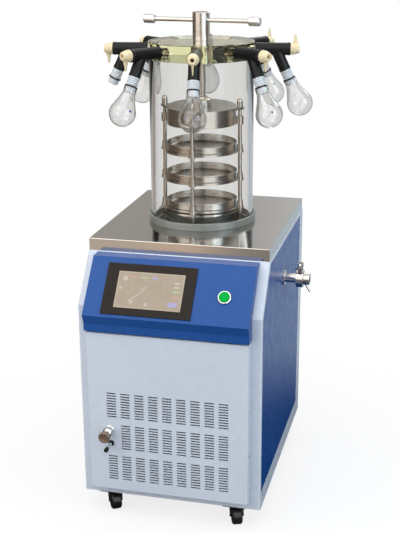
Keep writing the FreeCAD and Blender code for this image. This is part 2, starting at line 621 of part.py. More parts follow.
# ---- casters -------------------------------------------------------------------------------------
def casters():
    """Four swivel casters: a plate with its kingpin, a fork with the axle, and the wheel."""
    plates = []
    corners = [(-1, -1, "left_front_turn"), (1, -1, "right_front_turn"), (-1, 1, "left_rear_turn"),
               (1, 1, "right_rear_turn")]
    for index, (side, end, swivel) in enumerate(corners, 1):
        corner = shift(f"{side} * caster_x", f"{end} * caster_y", 0)
        low = "(case_bottom - caster_plate_thick)"
        plate = body("CasterPlate")
        box(plate, "Additive", ("-caster_plate / 2", "-caster_plate / 2", low),
            ("caster_plate / 2", "caster_plate / 2", "case_bottom"))
        pin_bottom = "(crown_top - crown_thick - seat_gap)"
        cylinder(plate, "Additive", "kingpin_radius", f"{low} - {pin_bottom} + 1",
                 shift(0, 0, pin_bottom))
        cylinder(plate, "Additive", "kingpin_head", "kingpin_head_thick",
                 shift(0, 0, f"{pin_bottom} - kingpin_head_thick"))
        plates.append(place(plate, corner))

        # each caster is swivelled a little differently: its wheel trails along the turned X
        trailing = turn("Z", swivel)
        fork = body("Fork")
        cylinder(fork, "Additive", "crown_radius", "crown_thick",
                 shift(0, 0, "crown_top - crown_thick"))
        for way in (1, -1):
            inner = "(wheel_width / 2 + leg_gap)"
            middle = f"{way} * ({inner} + leg_thick / 2)"
            leg = prism(fork, "XZ_Plane",
                        [("-leg_round", "crown_top - crown_thick"), ("-leg_round", "crown_top"),
                         ("crown_radius - 3", "crown_top"), ("caster_trail + leg_round", "axle_z"),
                         ("caster_trail", "axle_z - leg_round / 2"),
                         ("caster_trail - leg_round", "axle_z")], "leg_thick")
            bind(leg.Profile[0], **{"AttachmentOffset.Base.z": f"-({middle})"})
        cylinder(fork, "Subtractive", "kingpin_radius + fit", "crown_thick + 2",
                 shift(0, 0, "crown_top - crown_thick - 1"))
        reach = "(wheel_width / 2 + leg_gap + leg_thick + 1)"
        cylinder(fork, "Additive", "axle_radius", f"2 * {reach}",
                 shift("caster_trail", reach, "axle_z"), turn("X", 90))
        node(fork, f"caster_fork_{index}", corner, trailing)

        half = "(wheel_width / 2)"
        hub = "wheel_hub"
        rim = "wheel_rim"
        edge = "wheel_radius - wheel_round"
        inner = f"({half} - wheel_round)"
        wheel = turned("Wheel", [("axle_radius + fit", f"-{half}"), (hub, f"-{half}"),
                                 (hub, f"-{inner}"), (rim, f"-{inner}"), (rim, f"-{half}"),
                                 (edge, f"-{half}"), ("wheel_radius", f"-{inner}"),
                                 ("wheel_radius", inner), (edge, half), (rim, half), (rim, inner),
                                 (hub, inner), (hub, half), ("axle_radius + fit", half)])
        node(wheel, f"caster_wheel_{index}", corner, trailing,
             shift("caster_trail", 0, "axle_z"), turn("X", 90))
    joined("caster_plates", plates)


# ---- drying chamber ------------------------------------------------------------------------------
def chamber():
    """Base seal, clear tube and the clear lid with its bushing."""
    groove = "tube_radius + seat_gap"
    seal = turned("Seal", [("seal_inner", "plate_top"), ("seal_radius", "plate_top"),
                           ("seal_radius", "plate_top + seal_height"),
                           (groove, "plate_top + seal_height"), (groove, "seal_top"),
                           ("seal_inner", "seal_top")])
    node(seal, "base_seal", CHAMBER)
    tube = turned("Tube", [("tube_bore", "seal_top"), ("tube_radius", "seal_top"),
                           ("tube_radius", "tube_top"), ("tube_bore", "tube_top")])
    node(tube, "chamber_tube", CHAMBER)
    rim = "(lid_radius - lid_chamfer)"
    lid = turned("Lid", [("bushing_radius", "tube_top"), (rim, "tube_top"),
                         ("lid_radius", "tube_top + lid_chamfer"),
                         ("lid_radius", "lid_top - lid_chamfer"), (rim, "lid_top"),
                         ("bushing_radius", "lid_top")])
    for index in range(SIZES["valve_count"]):
        azimuth = turn("Z", f"valve_first + {index} * 360 / valve_count - 90")
        cylinder(lid, "Subtractive", "arm_hole", "lid_radius - nipple_start + 1", azimuth,
                 shift("nipple_start", 0, "valve_z"), turn("Y", 90))
        cylinder(lid, "Subtractive", "gallery_radius", "valve_z - tube_top + 1", azimuth,
                 shift("gallery_at", 0, "tube_top - 1"))
    node(lid, "lid", CHAMBER)
    bore = "journal + fit"
    bushing = turned("Bushing", [(bore, "tube_top"), ("bushing_radius", "tube_top"),
                                 ("bushing_radius", "lid_top"), (bore, "lid_top")])
    node(bushing, "lid_bushing", CHAMBER)


def stoppering_press():
    """Hub with its T-bar, the screw it drives and the press plate that slides on the rack rods."""
    collar_top = "(tube_top - seat_gap)"
    collar_low = f"({collar_top} - collar_thick)"
    hub = turned("Hub", [("screw_bore", collar_low), ("collar_radius", collar_low),
                         ("collar_radius", collar_top), ("journal", collar_top),
                         ("journal", "hub_low"), ("hub_radius", "hub_low"),
                         ("hub_radius", "hub_top - hub_chamfer"),
                         ("hub_radius - hub_chamfer", "hub_top"), (0, "hub_top"),
                         (0, "screw_top + seat_gap"), ("screw_bore", "screw_top + seat_gap")])
    azimuth = turn("Z", "bar_azimuth")
    cylinder(hub, "Subtractive", "bar_radius", "2 * hub_radius + 2", azimuth,
             shift("-hub_radius - 1", 0, "bar_z"), turn("Y", 90))
    node(hub, "press_hub", CHAMBER)
    reach = "(bar_length / 2 - knob_length + knob_bore)"
    bar = body("Bar")
    cylinder(bar, "Additive", "bar_radius", f"2 * {reach}")
    node(bar, "press_bar", CHAMBER, azimuth, shift(f"-{reach}", 0, "bar_z"), turn("Y", 90))
    knobs = []
    for side in (0, 180):
        knob = turned("BarKnob", [("bar_radius", 0), ("knob_radius - knob_chamfer", 0),
                                  ("knob_radius", "knob_chamfer"),
                                  ("knob_radius", "knob_length - knob_chamfer"),
                                  ("knob_radius - knob_chamfer", "knob_length"), (0, "knob_length"),
                                  (0, "knob_bore"), ("bar_radius", "knob_bore")])
        knobs.append(place(knob, turn("Z", f"bar_azimuth + {side}"),
                           shift("bar_length / 2 - knob_length", 0, "bar_z"), turn("Y", 90)))
    joined("bar_knobs", knobs, CHAMBER)
    foot_top = "(press_top + foot_height)"
    screw = turned("Screw", [(0, "press_top"), ("foot_radius", "press_top"),
                             ("foot_radius", f"{foot_top} - 2"), ("foot_radius - 2", foot_top),
                             ("screw_radius", foot_top), ("screw_radius", "screw_top - 1"),
                             ("screw_radius - 1", "screw_top"), (0, "screw_top")])
    node(screw, "press_screw", CHAMBER)

    plate_low = "(press_top - press_sheet)"
    wall = "(drum_radius - drum_wall)"
    plate = turned("PressPlate", [(0, plate_low), (0, "press_top"), ("drum_radius", "press_top"),
                                  ("drum_radius", "drum_low"), (wall, "drum_low"),
                                  (wall, plate_low)])
    flange = plate.newObject("PartDesign::Pad", "Flange")
    corner = "(rod_circle + ear_radius)"
    sketch = outline(plate, "XY_Plane", [(f"-{corner}", "ear_radius"),
                                         (f"-{corner}", "-ear_radius * tan(22.5)"),
                                         ("-ear_radius * tan(22.5)", f"-{corner}"),
                                         ("ear_radius * tan(22.5)", f"-{corner}"),
                                         (corner, "-ear_radius * tan(22.5)"), (corner, "ear_radius")])
    bind(sketch, **{"AttachmentOffset.Base.z": plate_low})
    flange.Profile = sketch
    bind(flange, Length="press_sheet")
    for azimuth in (180, 270, 0):
        spot = turn("Z", azimuth)
        low = "drum_low + guide_lift"
        cylinder(plate, "Additive", "guide_radius", "guide_height", spot,
                 shift("rod_circle", 0, low))
        tab = plate.newObject("PartDesign::AdditiveBox", "Tab")
        bind(tab, Length="rod_circle - drum_radius + 1", Width="tab_width", Height="guide_height")
        place(tab, spot, shift("drum_radius - 1", "-tab_width / 2", low))
    for azimuth in (180, 270, 0):
        cylinder(plate, "Subtractive", "rod_radius + guide_fit", "drum_height + press_sheet + 2",
                 turn("Z", azimuth), shift("rod_circle", 0, "drum_low - 1"))
    node(plate, "press_plate", CHAMBER)


def rack():
    """Three rods with their cap nuts, the shelves clamped to them and the trays on the shelves."""
    rods = []
    nuts = []
    nut_low = "(press_top + seat_gap)"
    for azimuth in (180, 270, 0):
        rod = body("Rod")
        cylinder(rod, "Additive", "rod_radius", "rod_top - plate_top")
        rods.append(place(rod, turn("Z", azimuth), shift("rod_circle", 0, "plate_top")))
        shoulder = f"({nut_low} + nut_height)"
        nut = turned("Nut", [("rod_radius", nut_low), ("nut_radius", nut_low),
                             ("nut_radius", shoulder),
                             ("nut_radius * cos(35)", f"{shoulder} + dome_height * sin(35)"),
                             ("nut_radius * cos(65)", f"{shoulder} + dome_height * sin(65)"),
                             (0, f"{shoulder} + dome_height"), (0, "rod_top"),
                             ("rod_radius", "rod_top")])
        nuts.append(place(nut, turn("Z", azimuth), shift("rod_circle", 0, 0)))
    joined("rack_rods", rods, CHAMBER)
    joined("rack_nuts", nuts, CHAMBER)

    shelves = []
    trays = []
    for level in range(SIZES["shelf_count"]):
        top = f"(plate_top + shelf_rise + {level} * shelf_pitch)"
        shelf = body("Shelf")
        cylinder(shelf, "Additive", "shelf_radius", "shelf_thick")
        for azimuth in (180, 270, 0):
            cylinder(shelf, "Additive", "ear_radius", "shelf_thick", turn("Z", azimuth),
                     shift("rod_circle", 0, 0))
            cylinder(shelf, "Additive", "bush_radius", "bush_height", turn("Z", azimuth),
                     shift("rod_circle", 0, 0))
        for azimuth in (180, 270, 0):
            cylinder(shelf, "Subtractive", "rod_radius", "bush_height + 2", turn("Z", azimuth),
                     shift("rod_circle", 0, -1))
        shelves.append(place(shelf, shift(0, 0, f"{top} - shelf_thick")))
        wall = "(tray_radius - tray_sheet)"
        tray = turned("Tray", [(0, 0), ("tray_radius", 0), ("tray_radius", "tray_height"),
                               (wall, "tray_height"), (wall, "tray_sheet"), (0, "tray_sheet")])
        trays.append(place(tray, shift(0, 0, top)))
    joined("rack_shelves", shelves, CHAMBER)
    joined("rack_trays", trays, CHAMBER)


# ---- flask valves --------------------------------------------------------------------------------
def valve_place(index):
    """The frame of one valve: its X runs out along the arm."""
    azimuth = turn("Z", f"valve_first + {index} * 360 / valve_count - 90")
    return azimuth + " * " + shift(0, 0, "valve_z")


def branch_place(index):
    """The frame of one valve's branch: its Z runs down and out along it."""
    return valve_place(index) + " * " + shift("branch_at", 0, 0) + " * " + turn("Y", "180 - branch_tilt")


def rubber_body():
    """Rubber arm with a slanting branch, bored for the nipple, the plug and the adaptor."""
    valve = body("Valve")
    cylinder(valve, "Additive", "arm_radius", "arm_end - arm_start", shift("arm_start", 0, 0),
             turn("Y", 90))
    down = (shift("branch_at", 0, 0), turn("Y", "180 - branch_tilt"))
    cylinder(valve, "Additive", "branch_radius", "branch_length", *down)
    cylinder(valve, "Subtractive", "arm_hole", "arm_end - arm_start + 2",
             shift("arm_start - 1", 0, 0), turn("Y", 90))
    cylinder(valve, "Subtractive", "branch_bore", "branch_length + 1", *down)
    return valve


def adaptor():
    """Adaptor between a branch and a flask's neck."""
    return turned("Adaptor", [("adaptor_bore", "branch_length - stub_length"),
                              ("branch_bore", "branch_length - stub_length"),
                              ("branch_bore", "branch_length"), ("adaptor_radius", "branch_length"),
                              ("adaptor_radius", "rib_end"), ("neck_bore", "rib_end"),
                              ("neck_bore", "adaptor_end"), ("adaptor_bore", "adaptor_end")])


def flask():
    """Pear-shaped glass flask: a straight neck, a cone and a round bulb."""
    spread = "(bulb_radius * cos(bulb_slope))"
    ring = "(bulb_at - bulb_radius * sin(bulb_slope))"
    cone_top = f"({ring} - ({spread} - neck_radius) / tan(bulb_slope))"
    thin = "(bulb_radius - flask_wall)"
    inner_spread = f"({thin} * cos(bulb_slope))"
    inner_ring = f"(bulb_at - {thin} * sin(bulb_slope))"
    inner_top = f"({inner_ring} - ({inner_spread} - neck_bore) / tan(bulb_slope))"
    glass = body("Flask")
    for kind, neck, wide, tip, low, radius, start in (
            ("Additive", "neck_radius", spread, cone_top, ring, "bulb_radius", "neck_from"),
            ("Subtractive", "neck_bore", inner_spread, inner_top, inner_ring, thin, "neck_from - 1")):
        cylinder(glass, kind, neck, f"{tip} - ({start})", shift(0, 0, start))
        cone = glass.newObject(f"PartDesign::{kind}Cone", "Shoulder")
        bind(cone, Radius1=neck, Radius2=wide, Height=f"{low} - {tip}")
        place(cone, shift(0, 0, tip))
        bulb = glass.newObject(f"PartDesign::{kind}Sphere", "Bulb")
        bind(bulb, Radius=radius)
        place(bulb, shift(0, 0, "bulb_at"))
    return glass


def valve_plug(handle_way):
    """Turning plug with the vent hole in its head and a tapered handle at its side."""
    plug = turned("Plug", [("plug_start", 0), ("plug_start", "arm_bore"), ("plug_head", "arm_bore"),
                           ("plug_head", "plug_radius"), ("plug_tip - plug_chamfer", "plug_radius"),
                           ("plug_tip", "plug_radius - plug_chamfer"),
                           ("plug_tip", "vent_radius"), ("vent_start", "vent_radius"),
                           ("vent_start", 0)], axis="H_Axis")
    handle = plug.newObject("PartDesign::AdditiveCone", "Handle")
    bind(handle, Radius1="handle_root", Radius2="handle_tip", Height="handle_reach - handle_from")
    flip = 0 if handle_way > 0 else 180
    place(handle, shift("handle_at", 0, 0), turn("Y", flip), shift(0, 0, "handle_from"))
    end = plug.newObject("PartDesign::AdditiveSphere", "HandleEnd")
    bind(end, Radius="handle_tip")
    place(end, shift("handle_at", 0, f"{handle_way} * handle_reach"))
    return plug


def valves():
    """Eight nipples, rubber bodies, adaptors and plugs, and seven flasks."""
    bodies = []
    nipples = []
    adaptors = []
    flasks = []
    handle_up = (4, 5)
    for index in range(SIZES["valve_count"]):
        spot = valve_place(index)
        bodies.append(place(rubber_body(), spot))
        nipple = turned("Nipple", [("nipple_bore", "nipple_start"), ("arm_hole", "nipple_start"),
                                   ("arm_hole", "nipple_end"), ("nipple_bore", "nipple_end")])
        nipples.append(place(nipple, spot, turn("Y", 90)))
        adaptors.append(place(adaptor(), branch_place(index)))
        if index > 0:
            flasks.append(place(flask(), branch_place(index)))
        plug = valve_plug(1 if index in handle_up else -1)
        node(plug, f"valve_plug_{index + 1}", CHAMBER, spot)
    joined("valve_bodies", bodies, CHAMBER)
    joined("port_nipples", nipples, CHAMBER)
    joined("flask_adaptors", adaptors, CHAMBER)
    joined("flasks", flasks, CHAMBER)


# ---- cold trap -----------------------------------------------------------------------------------
def cold_trap():
    """Steel vessel under the chamber, the evaporator coil round it and the foam round both."""
    inner = "trap_radius - trap_wall"
    flange_low = "plate_under - trap_wall"
    port = shift(0, "port_y - chamber_y", "port_z")
    vessel = turned("Vessel", [(0, "trap_low"), ("trap_radius", "trap_low"),
                               ("trap_radius", flange_low), ("trap_flange", flange_low),
                               ("trap_flange", "plate_under"), ("trap_radius", "plate_under"),
                               ("trap_radius", "trap_top"), (inner, "trap_top"),
                               (inner, "trap_low + trap_wall"), (0, "trap_low + trap_wall")])
    cylinder(vessel, "Subtractive", "port_bore", "trap_radius + 1", port, turn("Y", 90))
    node(vessel, "cold_trap", CHAMBER)

    # the coil leaves out the turn that the port pipe passes through
    around = "(trap_radius + coil_radius + coil_gap)"
    coil = body("Coil")
    levels = (-3, -2, -1, 1, 2, 3, 4)
    for level in levels:
        loop = coil.newObject("PartDesign::AdditiveTorus", "Turn")
        bind(loop, Radius1=around, Radius2="coil_radius")
        place(loop, shift(0, 0, f"port_z + {level} * coil_pitch"))
        if level == levels[0]:
            cylinder(coil, "Additive", "riser_radius", f"{levels[-1] - level} * coil_pitch",
                     turn("Z", 120), shift(around, 0, f"port_z + {level} * coil_pitch"))
    node(coil, "trap_coil", CHAMBER)

    foam_top = "plate_under - trap_wall - seat_gap"
    foam = turned("Foam", [(0, "foam_low"), ("foam_radius", "foam_low"), ("foam_radius", foam_top),
                           ("foam_bore", foam_top), ("foam_bore", "trap_low"), (0, "trap_low")])
    cylinder(foam, "Subtractive", "port_radius + seat_gap", "foam_radius + 1", port, turn("Y", 90))
    node(foam, "trap_insulation", CHAMBER)


# ---- side vacuum port ----------------------------------------------------------------------------
def vacuum_port():
    """Port pipe from the cold trap through the wall, its clamped joint, wing nut and end stub."""
    spot = shift(0, "port_y", "port_z")
    along = turn("Y", 90)
    pipe = body("Port")
    cylinder(pipe, "Additive", "port_radius", "joint_x", along)
    cylinder(pipe, "Additive", "port_flange", "port_flange_thick", shift("panel_face", 0, 0), along)
    cylinder(pipe, "Additive", "joint_radius", "joint_thick", shift("joint_x - joint_thick", 0, 0),
             along)
    cylinder(pipe, "Subtractive", "port_bore", "joint_x + 2", shift(-1, 0, 0), along)
    cylinder(pipe, "Subtractive", "trap_radius", "4 * port_radius",
             shift(0, "chamber_y - port_y", "-2 * port_radius"))
    node(pipe, "vacuum_port", spot)

    stub = body("Stub")
    cylinder(stub, "Additive", "joint_radius", "joint_thick", shift("joint_x", 0, 0), along)
    cylinder(stub, "Additive", "port_radius", "stub_out", shift("joint_x", 0, 0), along)
    ring_start = shift("stub_end - stub_thick", 0, 0)
    cylinder(stub, "Additive", "stub_radius", "stub_thick - stub_seat", ring_start, along)
    cylinder(stub, "Additive", "stub_radius - stub_step", "stub_thick", ring_start, along)
    cylinder(stub, "Additive", "nozzle_radius", "nozzle_length", shift("nozzle_x", 0, 0),
             turn("Y", "180 - nozzle_slope"), shift(0, 0, "port_radius"))
    cylinder(stub, "Subtractive", "port_bore", "stub_out + 2", shift("joint_x - 1", 0, 0), along)
    node(stub, "port_stub", spot)

    # in the clamp's own frame Z runs along the pipe and -X is up
    lip = "port_radius + seat_gap"
    flank = "(joint_thick + seat_gap)"
    clamp = turned("Clamp", [(lip, "-clamp_width / 2"), ("clamp_radius", "-clamp_width / 2"),
                             ("clamp_radius", "clamp_width / 2"), (lip, "clamp_width / 2"),
                             (lip, flank), ("clamp_bore", flank), ("clamp_bore", f"-{flank}"),
                             (lip, f"-{flank}")])
    inner_y = "lug_gap / 2"
    outer_y = "(lug_gap / 2 + lug_thick)"
    for low_y, high_y in ((inner_y, outer_y), (f"-{outer_y}", f"-{inner_y}")):
        box(clamp, "Additive", ("-clamp_radius - lug_height", low_y, "2 - clamp_width / 2"),
            ("-clamp_bore - 1", high_y, "clamp_width / 2 - 2"))
    cylinder(clamp, "Additive", "bolt_radius", "bolt_length",
             shift("-bolt_up", f"{outer_y} + 2", 0), turn("X", 90))
    node(clamp, "kf_clamp", spot, shift("joint_x", 0, 0), along)

    bolt_bore = "bolt_radius + fit"
    wing = turned("WingNut", [(bolt_bore, 0), ("wing_hub", 0), ("wing_hub - 1", "wing_length"),
                              (bolt_bore, "wing_length")])
    for low_x, high_x in (("wing_hub - 2", "wing_reach"), ("-wing_reach", "2 - wing_hub")):
        box(wing, "Additive", (low_x, "-wing_thick / 2", "wing_length - 5"),
            (high_x, "wing_thick / 2", "wing_length + 2"))
    face = f"port_y - {outer_y} - seat_gap"
    node(wing, "wing_nut", shift("joint_x", face, "port_z + bolt_up"), turn("X", 90),
         turn("Z", "wing_angle"))


# ---- drain ---------------------------------------------------------------------------------------
def drain():
    """Drain valve on the door with its turning knob, and the spout under it.  Local Z is -Y."""
    spot = shift("drain_x", "door_face", "drain_z")
    bore = "drain_stem + fit"
    gland_end = "boss_length + gland_length"
    stem_end = "boss_length + gland_length - drain_stem_depth"
    nut_end = "-door_sheet - drain_nut_thick"
    valve = turned("DrainValve", [(0, "-tail_length"), ("tail_radius", "-tail_length"),
                                  ("tail_radius", nut_end), ("drain_nut", nut_end),
                                  ("drain_nut", "-door_sheet"), ("tail_radius", "-door_sheet"),
                                  ("tail_radius", 0), ("boss_radius", 0),
                                  ("boss_radius", "boss_length - 2"),
                                  ("boss_radius - 2", "boss_length"), ("gland_radius", "boss_length"),
                                  ("gland_radius", gland_end), (bore, gland_end), (bore, stem_end),
                                  (0, stem_end)])
    node(valve, "drain_valve", spot, turn("X", 90))
    knob = turned("DrainKnob", [(0, f"{stem_end} + seat_gap"),
                                ("drain_stem", f"{stem_end} + seat_gap"),
                                ("drain_stem", "drain_knob_low"),
                                ("drain_knob_radius - 1", "drain_knob_low"),
                                ("drain_knob_radius", "drain_knob_low + 1"),
                                ("drain_knob_radius", "drain_knob_high - 1"),
                                ("drain_knob_radius - 1", "drain_knob_high"),
                                (0, "drain_knob_high")])
    node(knob, "drain_knob", spot, turn("X", 90))
    tip_low = "spout_length - spout_tip_length"
    spout = turned("Spout", [("spout_bore", "-spout_tail"), ("spout_radius", "-spout_tail"),
                             ("spout_radius", 0), ("spout_collar", 0),
                             ("spout_collar", "spout_collar_thick"),
                             ("spout_radius", "spout_collar_thick"), ("spout_radius", tip_low),
                             ("spout_tip", tip_low), ("spout_tip", "spout_length"),
                             ("spout_bore", "spout_length")])
    node(spout, "drain_spout", shift("drain_x + spout_x", "door_face", "spout_z"), turn("X", 90))


# ---- refrigeration -------------------------------------------------------------------------------
def refrigeration():
    """Hermetic compressor on its feet, the finned condenser, and the fan with its motor frame."""
    pot_top = "compressor_foot + compressor_height"
    pot = turned("Compressor", [(0, "compressor_foot"),
                                ("compressor_radius - 12", "compressor_foot"),
                                ("compressor_radius", "compressor_foot + 12"),
                                ("compressor_radius", f"{pot_top} - 40"),
                                ("compressor_radius * 0.85", f"{pot_top} - 15"),
                                ("compressor_radius * 0.5", pot_top), (0, pot_top)])
    box(pot, "Additive", ("-foot_plate_width / 2", "-foot_plate_depth / 2", "0"),
        ("foot_plate_width / 2", "foot_plate_depth / 2", "foot_plate"))
    for x in (-1, 1):
        for y in (-1, 1):
            cylinder(pot, "Additive", "peg_radius", "compressor_foot + 14",
                     shift(f"{x} * peg_in", f"{y} * peg_in", 0))
    node(pot, "compressor", shift("compressor_x", "compressor_y", "floor_z"))

    block = body("Condenser")
    wide = "(condenser_width / 2)"
    high = "floor_z + condenser_height"
    box(block, "Additive", (f"-{wide}", "condenser_y", "floor_z"), (wide, "fan_y", high))
    first = "(-groove_pitch * (groove_count - 1) / 2)"
    groove = box(block, "Subtractive",
                 (f"{first} - groove / 2", "condenser_y - 1", "floor_z + fin_border"),
                 (f"{first} + groove / 2", "condenser_y + groove_depth", f"{high} - fin_border"))
    fins = block.newObject("PartDesign::LinearPattern", "Fins")
    fins.Originals = [groove]
    across = [item for item in block.Origin.OriginFeatures if item.Role == "X_Axis"][0]
    fins.Direction = (across, [""])
    bind(fins, Length="groove_pitch * (groove_count - 1)", Occurrences="groove_count")
    block.Tip = fins
    node(block, "condenser")

    # local Z of the fan pieces runs along +Y, from the plate on the condenser's rear face
    spot = (shift(0, "fan_y", "fan_z"), turn("X", -90))
    frame = body("FanFrame")
    box(frame, "Additive", (f"-{wide}", "floor_z - fan_z", "0"),
        (wide, f"{high} - fan_z", "fan_plate"))
    cylinder(frame, "Subtractive", "fan_radius + fan_tip_gap", "fan_plate + 2", shift(0, 0, -1))
    cylinder(frame, "Additive", "motor_radius", "motor_length", shift(0, 0, "motor_back"))
    for azimuth in (0, 90, 180, 270):
        bar = frame.newObject("PartDesign::AdditiveBox", "Bar")
        bind(bar, Length="post_circle + motor_arm_width / 2 - motor_radius + 3",
             Width="motor_arm_width", Height="motor_arm_thick")
        place(bar, turn("Z", azimuth), shift("motor_radius - 3", "-motor_arm_width / 2", "motor_back"))
        post = frame.newObject("PartDesign::AdditiveBox", "Post")
        bind(post, Length="motor_arm_width", Width="motor_arm_width",
             Height="motor_back + motor_arm_thick")
        place(post, turn("Z", azimuth),
              shift("post_circle - motor_arm_width / 2", "-motor_arm_width / 2", 0))
    cylinder(frame, "Subtractive", "fan_shaft + fit", "motor_length / 2 + 1",
             shift(0, 0, "motor_back - 1"))
    node(frame, "fan_frame", *spot)

    hub_back = "fan_low + fan_hub_length"
    shaft_back = "motor_back + motor_length / 2 - 2"
    fan = turned("Fan", [(0, "fan_low"), ("fan_hub", "fan_low"), ("fan_hub", hub_back),
                         ("fan_shaft", hub_back), ("fan_shaft", shaft_back), (0, shaft_back)])
    for index in range(SIZES["blade_count"]):
        blade = fan.newObject("PartDesign::AdditiveBox", "Blade")
        bind(blade, Length="fan_radius - fan_hub + 4", Width="blade_width", Height="blade_thick")
        place(blade, turn("Z", f"{index} * 360 / blade_count"),
              shift("fan_hub - 4", 0, "fan_low + fan_hub_length / 2"), turn("X", "blade_pitch"),
              shift(0, "-blade_width / 2", "-blade_thick / 2"))
    node(fan, "fan_blade", *spot)


# ---- build ---------------------------------------------------------------------------------------
cabinet_frame()
side_panels()
front_panel()
console()
screen()
power_button()
top_plate()
base_and_back()
power_inlet()
casters()
chamber()
stoppering_press()
rack()
valves()
cold_trap()
vacuum_port()
drain()
refrigeration()

document.removeObject(probe.Name)
document.recompute()
for item in document.Objects:
    if "Invalid" in item.State or "Error" in item.State:
        raise RuntimeError(f"{item.Name} did not build: {item.State}")
os.makedirs("parts", exist_ok=True)
for piece in nodes:
    if piece.Shape.isNull() or not piece.Shape.isValid():
        raise RuntimeError(f"{piece.Label} has no valid shape")
    piece.Shape.exportStep(f"parts/{piece.Label}.step")
print(len(nodes), "nodes")
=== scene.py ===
import json
import math

import bmesh
import bpy
from mathutils import Matrix, Vector


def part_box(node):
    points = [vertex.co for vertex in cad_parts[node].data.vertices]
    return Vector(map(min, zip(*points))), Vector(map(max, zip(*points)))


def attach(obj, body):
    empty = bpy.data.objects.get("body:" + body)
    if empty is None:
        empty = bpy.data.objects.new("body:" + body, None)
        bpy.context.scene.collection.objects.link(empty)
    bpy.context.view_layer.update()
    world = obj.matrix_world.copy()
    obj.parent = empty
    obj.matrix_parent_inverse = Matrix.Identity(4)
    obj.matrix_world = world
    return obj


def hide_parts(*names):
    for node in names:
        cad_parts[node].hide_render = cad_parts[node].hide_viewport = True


# The looks of a bench freeze dryer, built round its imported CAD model.  Lengths in this file are in
# millimetres until a helper writes them into a mesh; positions come from the CAD nodes and joints.

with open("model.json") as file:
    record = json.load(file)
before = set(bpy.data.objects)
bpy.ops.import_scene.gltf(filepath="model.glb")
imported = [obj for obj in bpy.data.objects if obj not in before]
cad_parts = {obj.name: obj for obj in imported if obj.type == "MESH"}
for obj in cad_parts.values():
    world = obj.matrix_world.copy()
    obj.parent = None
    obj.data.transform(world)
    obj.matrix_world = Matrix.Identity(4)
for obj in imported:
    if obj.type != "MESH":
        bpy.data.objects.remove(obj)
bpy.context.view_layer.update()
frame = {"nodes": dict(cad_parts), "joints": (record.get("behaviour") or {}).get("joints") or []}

MM = 0.001
SHARP = math.radians(32)
scene = bpy.context.scene
joints = {joint["name"]: joint for joint in frame["joints"]}


# ---- places --------------------------------------------------------------------------------------
def middle(node):
    low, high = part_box(node)
    return (low + high) / 2


def moved(x, y, z):
    return Matrix.Translation(Vector((x, y, z)) * MM)


def at(point):
    return Matrix.Translation(point)


def turned(axis, degrees):
    return Matrix.Rotation(math.radians(degrees), 4, axis)


AXIS = Vector((middle("lid").x, middle("lid").y, 0))
CABINET = AXIS - Vector((0, 40 * MM, 0))
VALVE_Z = joints["plug_1_turn"]["pos_m"][2]
VALVES = range(1, 9)


def valve_place(index):
    """The frame of one valve: its X runs out from the chamber's axis along the arm."""
    out = joints[f"plug_{index}_turn"]["axis"]
    return at(AXIS + Vector((0, 0, VALVE_Z))) @ turned("Z", math.degrees(math.atan2(out[1], out[0])))


BRANCH_OUT = 171.6
BRANCH_TILT = 25


def branch_place(index):
    """The frame of one valve's branch: its Z runs down and out along it."""
    return valve_place(index) @ moved(BRANCH_OUT, 0, 0) @ turned("Y", 180 - BRANCH_TILT)


# ---- meshes --------------------------------------------------------------------------------------
def rounded(corners, steps=5):
    """The points of an outline whose corners (x, y, radius) are rounded."""
    points = []
    for index, (x, y, radius) in enumerate(corners):
        here = Vector((x, y))
        if radius == 0:
            points.append((x, y))
            continue
        back = Vector(corners[index - 1][:2]) - here
        ahead = Vector(corners[(index + 1) % len(corners)][:2]) - here
        half = back.angle(ahead) / 2
        reach = min(radius / math.tan(half), 0.49 * back.length, 0.49 * ahead.length)
        centre = here + (back.normalized() + ahead.normalized()).normalized() * reach / math.cos(half)
        first = here + back.normalized() * reach - centre
        last = here + ahead.normalized() * reach - centre
        whole = first.angle(last)
        for step in range(steps + 1):
            share = step / steps
            arm = (first * math.sin((1 - share) * whole) + last * math.sin(share * whole))
            point = centre + arm / math.sin(whole)
            points.append((point.x, point.y))
    return points


def lathe(profile, segments=96, closed=True, flute=None):
    """A surface turned round Z from (radius, height) points.

    flute(angle, radius, height) is added to a radius.
    """
    shape = bmesh.new()
    rings = []
    for radius, height in profile:
        ring = []
        for index in range(segments if radius > 1e-6 else 1):
            angle = math.tau * index / segments
            reach = radius + (flute(angle, radius, height) if flute else 0)
            ring.append(shape.verts.new((reach * MM * math.cos(angle), reach * MM * math.sin(angle),
                                         height * MM)))
        rings.append(ring)
    following = rings[1:] + rings[:1] if closed else rings[1:]
    for one, other in zip(rings, following):
        for index in range(segments):
            turn = (index + 1) % segments
            corners = [one[index % len(one)], one[turn % len(one)],
                       other[turn % len(other)], other[index % len(other)]]
            corners = list(dict.fromkeys(corners))
            if len(corners) > 2:
                shape.faces.new(corners)
    bmesh.ops.recalc_face_normals(shape, faces=shape.faces)
    return shape


def prism(outline, low, high, bevel=0.0):
    """A flat outline drawn up from low to high, its edges softened."""
    shape = bmesh.new()
    base = [shape.verts.new((x * MM, y * MM, low * MM)) for x, y in outline]
    face = shape.faces.new(base)
    drawn = bmesh.ops.extrude_face_region(shape, geom=[face])
    tops = [item for item in drawn["geom"] if isinstance(item, bmesh.types.BMVert)]
    bmesh.ops.translate(shape, verts=tops, vec=(0, 0, (high - low) * MM))
    bmesh.ops.recalc_face_normals(shape, faces=shape.faces)
    if bevel:
        bmesh.ops.bevel(shape, geom=shape.edges[:], offset=bevel * MM, segments=2, affect="EDGES",
                        profile=0.6)
    return shape


def moved_shape(shape, matrix):
    bmesh.ops.transform(shape, matrix=matrix, verts=shape.verts)
    return shape


